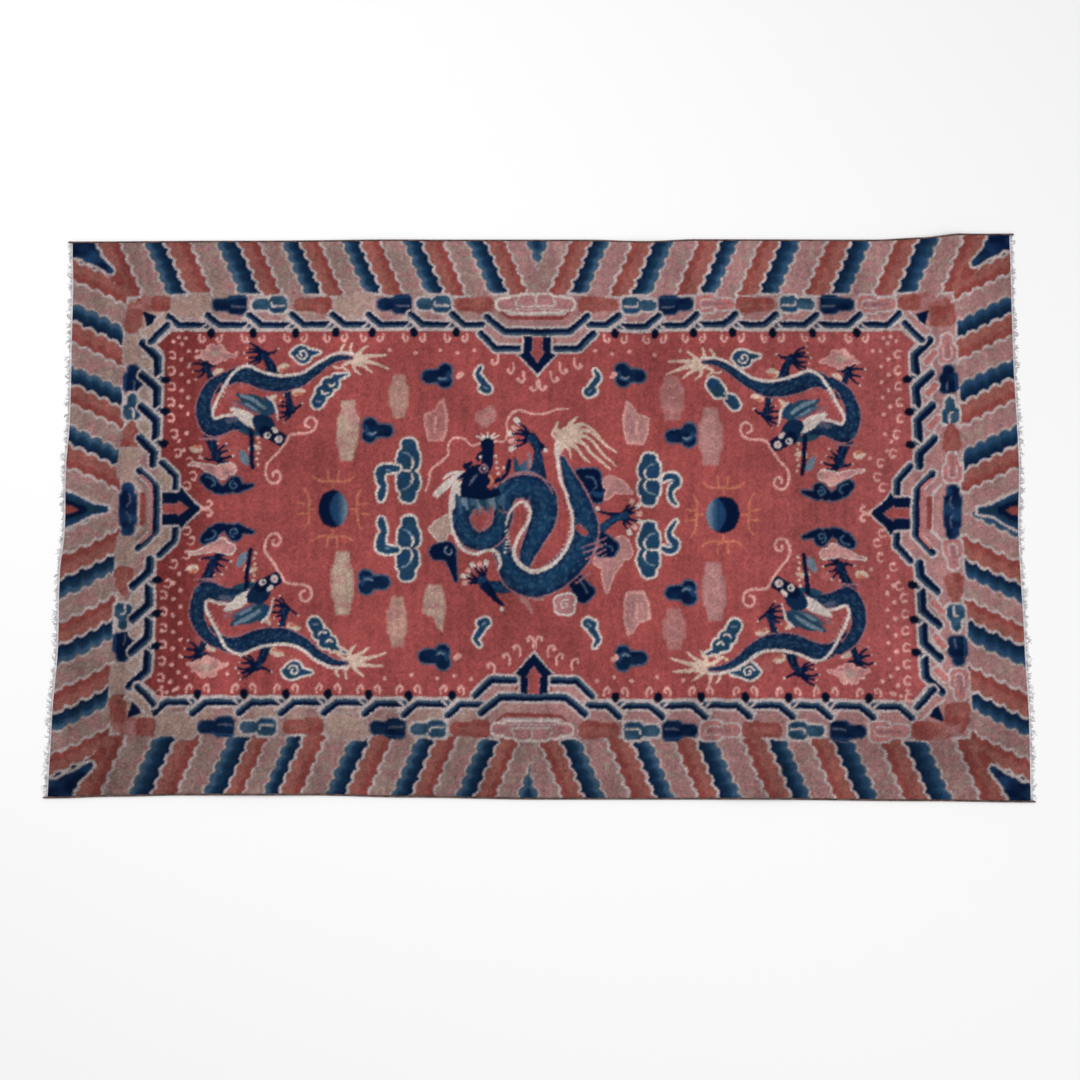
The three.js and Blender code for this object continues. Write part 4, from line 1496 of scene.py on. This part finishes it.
def on_floor(u, v, z=0.0, out_x=0.0, out_y=0.0):
    """Points in metres: a share of the carpet, a height above its underside, and a step off it."""
    x, y = place(u, v)
    height = lift(x, v) + z
    return np.stack(np.broadcast_arrays(x + out_x - CENTRE[0], y + out_y - CENTRE[1], height), -1) * MM

# %% [markdown]
# ## The pile
# A million loose tufts would be too heavy, and hair does not export. At this scale each cut knot
# reads as one square of colour that stands a little higher or lower than its neighbour, so each
# one is one face of a fine grid, worn down unevenly. The grid is made flat with `create_grid`,
# its rim is extruded down and bridged underneath, and then every vertex is moved to its place on
# the cloth. Four lengthwise strips keep each mesh light enough to bake and to print.

# %% Relief of the worn pile
RIM_DROP = 2.5
RIM_WIDTH = 7.0
WALL_BAND = 0.012
BAKE_ROWS = 3
END_FACE = 0.016
grid_u, grid_v = np.meshgrid(np.linspace(0, 1, COLUMNS + 1), np.linspace(0, 1, ROWS + 1))
rim_gap = np.minimum(
    np.minimum(grid_u, 1 - grid_u) * ROUND_LONG, np.minimum(grid_v, 1 - grid_v) * ROUND_WIDE
)
relief = rng.normal(0, 0.16, grid_u.shape).clip(-0.4, 0.4) - 0.4
relief -= RIM_DROP * np.clip(1 - rim_gap / RIM_WIDTH, 0, 1) ** 2


def to_corners(cells):
    """Mean of the cells that meet at each corner of the chart."""
    wide = np.pad(cells, ((1, 1), (1, 1), (0, 0)), mode="edge")
    return (wide[:-1, :-1] + wide[1:, :-1] + wide[:-1, 1:] + wide[1:, 1:]) / 4


def linear(colour):
    """sRGB shares as the linear light that a shader reads."""
    return np.where(colour <= 0.04045, colour / 12.92, ((colour + 0.055) / 1.055) ** 2.4)


wool_cells = linear(np.clip(chart, 0, 1))
print("Relief from", relief.min().round(2), "to", relief.max().round(2), "mm")

# %% One closed strip of knots
def strip_mesh(name, columns, rows):
    """A closed slab: a fine grid on top at z 1, walls down to z 0, and long faces underneath."""
    bm = bmesh.new()
    bmesh.ops.create_grid(bm, x_segments=columns, y_segments=rows, size=1)
    for vert in bm.verts:
        vert.co.z = 1
    rim = [edge for edge in bm.edges if edge.is_boundary]
    walls = bmesh.ops.extrude_edge_only(bm, edges=rim)["geom"]
    low = [item for item in walls if isinstance(item, bmesh.types.BMVert)]
    bmesh.ops.translate(bm, verts=low, vec=(0, 0, -1))
    foot = [item for item in walls if isinstance(item, bmesh.types.BMEdge) and item.is_boundary]
    ends = [edge for edge in foot if min(abs(v.co.y) for v in edge.verts) > 1 - 1e-6]
    bmesh.ops.bridge_loops(bm, edges=ends)
    bmesh.ops.holes_fill(bm, edges=[edge for edge in bm.edges if edge.is_boundary], sides=0)
    # straight edges underneath would cut across the hollows of the curved ends
    straight = [
        edge for edge in bm.edges
        if abs(edge.verts[0].co.y - edge.verts[1].co.y) > 1.9 and abs(edge.verts[0].co.x) > 1 - 2 * END_FACE
    ]
    bmesh.ops.dissolve_edges(bm, edges=straight)
    bmesh.ops.recalc_face_normals(bm, faces=bm.faces)
    mesh = bpy.data.meshes.new(name)
    bm.to_mesh(mesh)
    bm.free()
    return mesh

# %% Pieces and their maps
def add_piece(mesh, node):
    """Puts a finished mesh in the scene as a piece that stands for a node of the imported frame."""
    piece = bpy.data.objects.new(mesh.name, mesh)
    bpy.context.collection.objects.link(piece)
    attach(piece, "root")
    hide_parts(node)
    return piece


def numbers(items, field, width=1):
    """One field of many mesh items as an array."""
    found = np.empty(len(items) * width, np.float32 if field in ("co", "center") else np.int32)
    items.foreach_get(field, found)
    return found.reshape(-1, width) if width > 1 else found


def bake_map(u, v, wall, side, flat):
    """A strip cut in three along its length and stacked, with its walls beside it, for the export."""
    band = np.minimum((flat["u"] * BAKE_ROWS).astype(int), BAKE_ROWS - 1)
    x = (u * BAKE_ROWS - band) * (1 - 4 * WALL_BAND) + 2 * WALL_BAND
    y = (band + v * (1 - 6 * WALL_BAND) + 3 * WALL_BAND) / BAKE_ROWS * 0.97
    x = x + np.where(wall, side[:, 0] * WALL_BAND, 0)
    y = y + np.where(wall, side[:, 1] * WALL_BAND / 2, 0)
    under = flat["under"]
    x = np.where(under, u, x)
    y = np.where(under, 0.975 + 0.02 * v, y)
    return np.stack([x, y], 1)

# %% A strip laid on the cloth
def lay_strip(mesh, rows, first_row, face_height, foot, cells, attribute):
    """Moves a flat strip onto the cloth and gives it its colours and its two maps."""
    all_rows, columns = cells.shape[:2]
    corners = to_corners(cells)
    co = numbers(mesh.vertices, "co", 3)
    col = np.rint((co[:, 0] + 1) / 2 * columns).astype(int)
    row = np.rint((co[:, 1] + 1) / 2 * rows).astype(int)
    is_top = co[:, 2] > 0.5
    u, v = col / columns, (first_row + row) / all_rows
    z = np.where(is_top, face_height[first_row + row, col], foot)
    mesh.vertices.foreach_set("co", on_floor(u, v, z).astype(np.float32).ravel())
    centre_of = np.repeat(np.arange(len(mesh.polygons)), numbers(mesh.polygons, "loop_total"))
    vertex = numbers(mesh.loops, "vertex_index")
    count = np.bincount(centre_of)
    mean = lambda values: (np.bincount(centre_of, values[vertex]) / count)[centre_of]
    mid_u, mid_row, height = mean(col / columns), mean(row.astype(float)), mean(is_top.astype(float))
    own_col = np.clip((mid_u * columns).astype(int), 0, columns - 1)
    own_row = np.clip(mid_row.astype(int), 0, rows - 1) + first_row
    colour = np.ones((len(vertex), 4), np.float32)
    mixed = 0.45 * cells[own_row, own_col] + 0.55 * corners[first_row + row[vertex], col[vertex]]
    on_foot = ~is_top[vertex]
    # painted shade: where the walls meet the foot, and on the foot's face, the colour is darkened to 0.6
    colour[:, :3] = mixed * np.where(on_foot, 0.6, 1.0)[:, None]
    mesh.color_attributes.new(attribute, "FLOAT_COLOR", "CORNER").data.foreach_set("color", colour.ravel())
    loop_u, loop_v = col[vertex] / columns, row[vertex] / rows
    at_edge = lambda share: np.sign(share * 2 - 1) * (np.minimum(share, 1 - share) < 1e-4)
    side = np.stack([at_edge(mid_u), at_edge(mid_row / rows)], 1)
    flat = {"u": mid_u, "under": height < 0.25}
    uv = bake_map(loop_u, loop_v, on_foot & ~flat["under"], side, flat)
    mesh.uv_layers.new(name="OFBake").uv.foreach_set("vector", uv.astype(np.float32).ravel())
    knots = np.stack([col[vertex], first_row + row[vertex] + np.where(on_foot, 1, 0)], 1)
    mesh.uv_layers.new(name="Knots").uv.foreach_set("vector", knots.astype(np.float32).ravel())
    mesh.shade_smooth()
    mesh.set_sharp_from_angle(angle=math.radians(50))
    mesh.update()

# %% Four strips of pile
STRIPS = ["pile_near_edge", "pile_near_middle", "pile_far_middle", "pile_far_edge"]
rows_each = ROWS // len(STRIPS)
pile = []
for index, name in enumerate(STRIPS):
    mesh = strip_mesh(name, COLUMNS, rows_each)
    lay_strip(
        mesh, rows_each, index * rows_each, PILE_THICKNESS + relief, BACK_THICKNESS, wool_cells, "wool"
    )
    pile.append(add_piece(mesh, "carpet"))
print("Pile:", sum(len(strip.data.polygons) for strip in pile), "faces")

# %% [markdown]
# ## The woven back
# Turned over, the same picture shows in small hard loops, paler, with cotton weft between the
# rows. Nobody needs each loop there, so the back has one face for every nine knots, and a fine
# bump for the loops.

# %% Back cloth
BACK_STEP = 3
COTTON = np.array((0.66, 0.60, 0.53))
back_columns, back_rows = COLUMNS // BACK_STEP, ROWS // BACK_STEP
trimmed = wool_cells[: back_rows * BACK_STEP, : back_columns * BACK_STEP]
back_cells = trimmed.reshape(back_rows, BACK_STEP, back_columns, BACK_STEP, 3).mean((1, 3))
back_cells = 0.6 * back_cells + 0.4 * linear(COTTON)
back_height = rng.uniform(0, 0.12, (back_rows + 1, back_columns + 1))
mesh = strip_mesh("woven_back", back_columns, back_rows)
mesh.flip_normals()  # its fine side faces the floor
lay_strip(mesh, back_rows, 0, back_height, BACK_THICKNESS, back_cells, "wool")
woven_back = add_piece(mesh, "carpet")
print("Back:", len(mesh.polygons), "faces")

# %% [markdown]
# ## Side cords
# Each long side ends in a selvedge: the last warps wrapped over and over with brown wool, so it
# looks like a thin rope with a rib at each turn. A curve with a bevel would be smooth, so the
# cord is a grid rolled into a tube, with every other ring a little fatter.

# %% Tubes from rolled grids
def tube(bm, path, half_across, half_up, sides):
    """Rolls a grid into a closed tube along a path of points, with a radius for each point."""
    count = len(path)
    made = bmesh.ops.create_grid(bm, x_segments=count - 1, y_segments=sides, size=1)["verts"]
    heading = np.gradient(path, axis=0)
    across = np.stack([-heading[:, 1], heading[:, 0], np.zeros(count)], 1)
    across /= np.linalg.norm(across, axis=1)[:, None] + 1e-12
    for vert in made:
        ring = round((vert.co.x + 1) / 2 * (count - 1))
        angle = (vert.co.y + 1) * math.pi
        out = across[ring] * (math.cos(angle) * half_across[ring])
        vert.co = Vector(path[ring] + out) + Vector((0, 0, math.sin(angle) * half_up[ring]))
    return made


def close_tubes(bm, name):
    """Welds each tube's seam, caps its ends and makes the mesh."""
    bmesh.ops.remove_doubles(bm, verts=bm.verts, dist=1e-6)
    bmesh.ops.holes_fill(bm, edges=[edge for edge in bm.edges if edge.is_boundary], sides=0)
    bmesh.ops.recalc_face_normals(bm, faces=bm.faces)
    mesh = bpy.data.meshes.new(name)
    bm.to_mesh(mesh)
    bm.free()
    mesh.shade_smooth()
    return mesh

# %% Two overcast cords
CORD_WIDTH, CORD_HEIGHT, CORD_OVERRUN = 5.0, 5.5, 13.0
WRAP_PITCH = 2.6
cords = []
for name, side in (("selvedge_far", 1), ("selvedge_near", -1)):
    v = 1.0 if side > 0 else 0.0
    rings = int((ROUND_LONG + 2 * CORD_OVERRUN) / WRAP_PITCH * 2)
    reach = np.linspace(-CORD_OVERRUN, ROUND_LONG + CORD_OVERRUN, rings)
    u = np.clip(reach / ROUND_LONG, 0, 1)
    beyond = reach - u * ROUND_LONG
    path = on_floor(u, np.full(rings, v), CORD_HEIGHT / 2, beyond, side * (GAP + CORD_WIDTH / 2))
    rib = np.where(np.arange(rings) % 2, 1.0, 0.86) + rng.uniform(-0.05, 0.05, rings)
    rib *= np.clip(0.4 + (CORD_OVERRUN - np.abs(beyond)) / 4, 0, 1)
    rib = np.minimum(rib, 1.0) * MM
    bm = bmesh.new()
    tube(bm, path, rib * CORD_WIDTH / 2, rib * CORD_HEIGHT / 2, 9)
    cords.append(add_piece(close_tubes(bm, name + "_cord"), name))
    print(name, len(cords[-1].data.polygons), "faces")

# %% [markdown]
# ## Ends
# Beyond the last knots a narrow band of plain weave holds them, and the cut warps hang from it in
# worn bunches of cotton yarn. Each yarn is one thin rolled grid that leaves the band, bends and
# comes down to the floor, and the bunches differ in length and in how far they are frayed.

# %% Plain-woven bands and frayed bunches
WEB_WIDTH, WEB_THICKNESS = 7.0, 1.7
FRINGE = {
    # side: sign, u, bunches, mean length
    "left": (-1, 0.0, 150, 11.0),
    "right": (1, 1.0, 150, 11.0),
}
YARNS, YARN_RINGS = 6, 5
YARN_RADIUS = 0.75
ends = []
for side, (sign, u, bunches, length) in FRINGE.items():
    bm = bmesh.new()
    band = bmesh.ops.create_grid(bm, x_segments=4, y_segments=ROWS // 2, size=1)["verts"]
    rim = [edge for edge in bm.edges if edge.is_boundary]
    walls = bmesh.ops.extrude_edge_only(bm, edges=rim)["geom"]
    for vert in walls:
        if isinstance(vert, bmesh.types.BMVert):
            vert.co.z = -1
    foot = [item for item in walls if isinstance(item, bmesh.types.BMEdge) and item.is_boundary]
    long_ends = [edge for edge in foot if min(abs(v.co.x) for v in edge.verts) > 1 - 1e-6]
    bmesh.ops.bridge_loops(bm, edges=long_ends)
    bmesh.ops.holes_fill(bm, edges=[edge for edge in bm.edges if edge.is_boundary], sides=0)
    for vert in bm.verts:
        out = (vert.co.x + 1) / 2 * WEB_WIDTH
        height = WEB_THICKNESS * (1 - 0.65 * (out / WEB_WIDTH)) if vert.co.z > -0.5 else 0
        ripple = 0.12 * math.sin(vert.co.y * 900) if height else 0
        vert.co = on_floor(u, np.array((vert.co.y + 1) / 2), height + ripple, sign * (GAP + out))
    for bunch in range(bunches):
        at = (bunch + 0.5 + rng.uniform(-0.3, 0.3)) / bunches
        reach = length * rng.uniform(0.35, 1.35)
        lean = rng.normal(0, 0.35)
        for yarn in range(YARNS):
            own = reach * rng.uniform(0.5, 1.1)
            t = np.linspace(0, 1, YARN_RINGS)
            out = sign * (GAP + WEB_WIDTH - 2.5 + own * t)
            off = rng.normal(0, 1.7) * (0.8 + 0.8 * t) + (lean + rng.normal(0, 0.3)) * own * t**2
            thick = YARN_RADIUS * (1 - 0.4 * t)
            height = 0.9 * (1 - t) ** 2 + thick + rng.uniform(0, 0.7) * t * (1 - t) * 3
            path = on_floor(np.full(YARN_RINGS, u), np.full(YARN_RINGS, at), height, out, off)
            tube(bm, path, thick * MM, thick * MM, 3)
    mesh = close_tubes(bm, "fringe_" + side + "_cotton")
    ends.append(add_piece(mesh, "fringe_" + side))
    print("Fringe", side, len(mesh.polygons), "faces")

# %% [markdown]
# ## Wool and cotton
# Old wool is dull but never flat in colour: each knot took the dye a little differently, and its cut
# fibres scatter light. The chart's colour comes from an attribute, and noise on Object coordinates
# and the knots' own map add the rest, with shade painted into the valleys between knots and light
# painted on their crowns. Sheen gives the soft bloom that wool has when seen at a low angle.

# %% Small node helpers
def new_material(name, roughness, sheen=0.0):
    """A material with its tree and its shader, whose constants sit on the shader's own sockets."""
    material = bpy.data.materials.new(name)
    material.use_nodes = True
    tree = material.node_tree
    shader = tree.nodes["Principled BSDF"]
    shader.inputs["Roughness"].default_value = roughness
    shader.inputs["Specular IOR Level"].default_value = 0.04
    shader.inputs["Sheen Weight"].default_value = sheen
    shader.inputs["Sheen Roughness"].default_value = 0.5
    return material, tree, shader


def add_node(tree, kind, sockets=(), **fields):
    """A node with its fields set, and its sockets set to values or linked to other outputs."""
    node = tree.nodes.new("ShaderNode" + kind)
    for field, value in fields.items():
        setattr(node, field, value)
    for key, value in dict(sockets).items():
        if isinstance(value, bpy.types.NodeSocket):
            tree.links.new(value, node.inputs[key])
        else:
            node.inputs[key].default_value = value
    return node


def math_node(tree, operation, *values):
    return add_node(tree, "Math", {i: v for i, v in enumerate(values)}, operation=operation).outputs[0]


def noise(tree, where, scale, detail=2.0, stretch=None):
    """Noise from 0 to 1 about the middle 0.5, as blobs of 1 / scale metres."""
    if stretch:
        where = add_node(tree, "Mapping", {"Vector": where, "Scale": stretch}).outputs[0]
    return add_node(tree, "TexNoise", {"Vector": where, "Scale": scale, "Detail": detail}).outputs[0]


def to_range(tree, value, low, high, from_low=0.0, from_high=1.0):
    sockets = {"Value": value, "From Min": from_low, "From Max": from_high, "To Min": low, "To Max": high}
    return add_node(tree, "MapRange", sockets).outputs[0]


def times(tree, colour, factor):
    """A colour made lighter or darker by a factor from a texture."""
    scaled = add_node(tree, "VectorMath", {0: colour, 1: factor}, operation="MULTIPLY")
    return scaled.outputs[0]

# %% Knotted wool
def knotted_wool(name, across, along, depth, fibre):
    """Wool in cut or looped knots: a colour attribute, with shade painted between the knots and light
    painted on their crowns, and fibres.
    """
    material, tree, shader = new_material(name, 0.95, sheen=0.01)
    colour = add_node(tree, "Attribute", attribute_name="wool").outputs["Color"]
    where = add_node(tree, "TexCoord").outputs["Object"]
    knots = add_node(tree, "UVMap", uv_map="Knots").outputs[0]
    axes = add_node(tree, "SeparateXYZ", {0: knots})
    bulge = []
    for axis, pull in (("X", across), ("Y", along)):
        turned = math_node(tree, "MULTIPLY", axes.outputs[axis], 2 * math.pi * pull)
        bulge.append(math_node(tree, "COSINE", turned))
    height = math_node(tree, "ADD", *bulge)
    fuzz = noise(tree, where, fibre, 3.0)
    height = math_node(tree, "MULTIPLY_ADD", height, -0.25, fuzz)
    # painted shade and light: the colour is darker in the valleys between knots and lighter on their
    # crowns, with fibre noise
    shade = to_range(tree, height, 0.80, 1.16, 0.1, 0.95)
    patchy = to_range(tree, noise(tree, where, 9.0, 4.0), 0.88, 1.12, 0.25, 0.75)
    colour = times(tree, times(tree, colour, shade), patchy)
    bump = add_node(tree, "Bump", {"Height": height, "Strength": 0.7, "Distance": depth * MM})
    tree.links.new(colour, shader.inputs["Base Color"])
    tree.links.new(bump.outputs[0], shader.inputs["Normal"])
    return material


cut_pile = knotted_wool("cut_pile_wool", 1, 1, 1.3, 1100)
knot_backs = knotted_wool("knot_backs", 6, 3, 0.4, 1500)
for strip in pile:
    strip.data.materials.append(cut_pile)
woven_back.data.materials.append(knot_backs)

# %% Overcast wool and cotton yarn
def yarn(name, base, dark, pitch, slant, sheen):
    """Spun yarn: slanting strands with shade painted in the grooves between them, and soil in patches."""
    material, tree, shader = new_material(name, 0.92, sheen)
    where = add_node(tree, "TexCoord").outputs["Object"]
    turned = add_node(tree, "Mapping", {"Vector": where, "Rotation": (0, 0, slant)}).outputs[0]
    wave = {"Vector": turned, "Scale": 2 * math.pi / 20 / (pitch * MM), "Distortion": 1.5, "Detail": 1.0}
    strands = add_node(tree, "TexWave", wave).outputs[1]
    fuzz = noise(tree, where, 1400, 2.0)
    soil = to_range(tree, noise(tree, where, 60, 3.0), 0.0, 1.0, 0.35, 0.65)
    mixed = add_node(tree, "Mix", data_type="RGBA")
    for socket, value in ((0, soil), (6, (*base, 1)), (7, (*dark, 1))):
        if isinstance(value, tuple):
            mixed.inputs[socket].default_value = value
        else:
            tree.links.new(value, mixed.inputs[socket])
    height = math_node(tree, "MULTIPLY_ADD", strands, 0.7, fuzz)
    # painted shade: the colour is darker in the grooves between the strands
    colour = times(tree, mixed.outputs[2], to_range(tree, height, 0.8, 1.1, 0.3, 1.3))
    bump = add_node(tree, "Bump", {"Height": height, "Strength": 0.6, "Distance": 0.4 * MM})
    tree.links.new(colour, shader.inputs["Base Color"])
    tree.links.new(bump.outputs[0], shader.inputs["Normal"])
    return material


def srgb(*levels):
    return tuple(float(x) for x in linear(np.array(levels) / 255))


cord_wool = yarn("overcast_brown_wool", srgb(120, 98, 92), srgb(76, 60, 58), 2.6, 0.5, 0.1)
raw_cotton = yarn("worn_cotton", srgb(232, 228, 230), srgb(198, 192, 196), 1.2, 0.9, 0.05)
for cord in cords:
    cord.data.materials.append(cord_wool)
for end in ends:
    end.data.materials.append(raw_cotton)

# %% [markdown]
# ## The studio
# The photograph looks nearly straight down from one side, with even light and no hard shadow.
# The lens and distance were worked out from how much the far edge is shorter than the near one.

# %% Camera
TILT = math.radians(7)
DISTANCE = 3.8
TARGET = Vector((-4 - CENTRE[0], -71.5 - CENTRE[1], 0)) * MM
FRAME_WIDTH = 2.7
SENSOR = 36
camera = bpy.data.objects.new("camera", bpy.data.cameras.new("camera"))
bpy.context.collection.objects.link(camera)
bpy.context.scene.camera = camera
camera.data.sensor_width = SENSOR
camera.data.lens = SENSOR * DISTANCE / FRAME_WIDTH
back = Vector((0, -math.sin(TILT), math.cos(TILT)))
camera.location = TARGET + back * DISTANCE
camera.rotation_euler = (TILT, 0, 0)
print("Lens", round(camera.data.lens, 2), "mm at", DISTANCE, "m")

# %% Floor and light
bm = bmesh.new()
bmesh.ops.create_grid(bm, x_segments=8, y_segments=8, size=4.5)
floor_mesh = bpy.data.meshes.new("floor")
bm.to_mesh(floor_mesh)
bm.free()
floor = bpy.data.objects.new("floor", floor_mesh)
bpy.context.collection.objects.link(floor)
material, tree, shader = new_material("pale_floor", 0.9)
shader.inputs["Base Color"].default_value = (0.92, 0.92, 0.92, 1)
floor_mesh.materials.append(material)

world = bpy.data.worlds.new("studio")
world.use_nodes = True
world.node_tree.nodes["Background"].inputs["Color"].default_value = (1, 1, 1, 1)
world.node_tree.nodes["Background"].inputs["Strength"].default_value = 0.70
bpy.context.scene.world = world
for name, place_at, size, power in (
    ("key", (-1.5, 1.2, 3.6), 2.5, 54), ("fill", (1.8, -1.4, 3.4), 2.5, 27)
):
    lamp = bpy.data.objects.new(name, bpy.data.lights.new(name, "AREA"))
    lamp.data.size = size
    lamp.data.energy = power
    lamp.location = place_at
    lamp.rotation_euler = (-Vector(place_at)).to_track_quat("-Z", "Y").to_euler()
    bpy.context.collection.objects.link(lamp)
bpy.context.scene.view_settings.view_transform = "Standard"
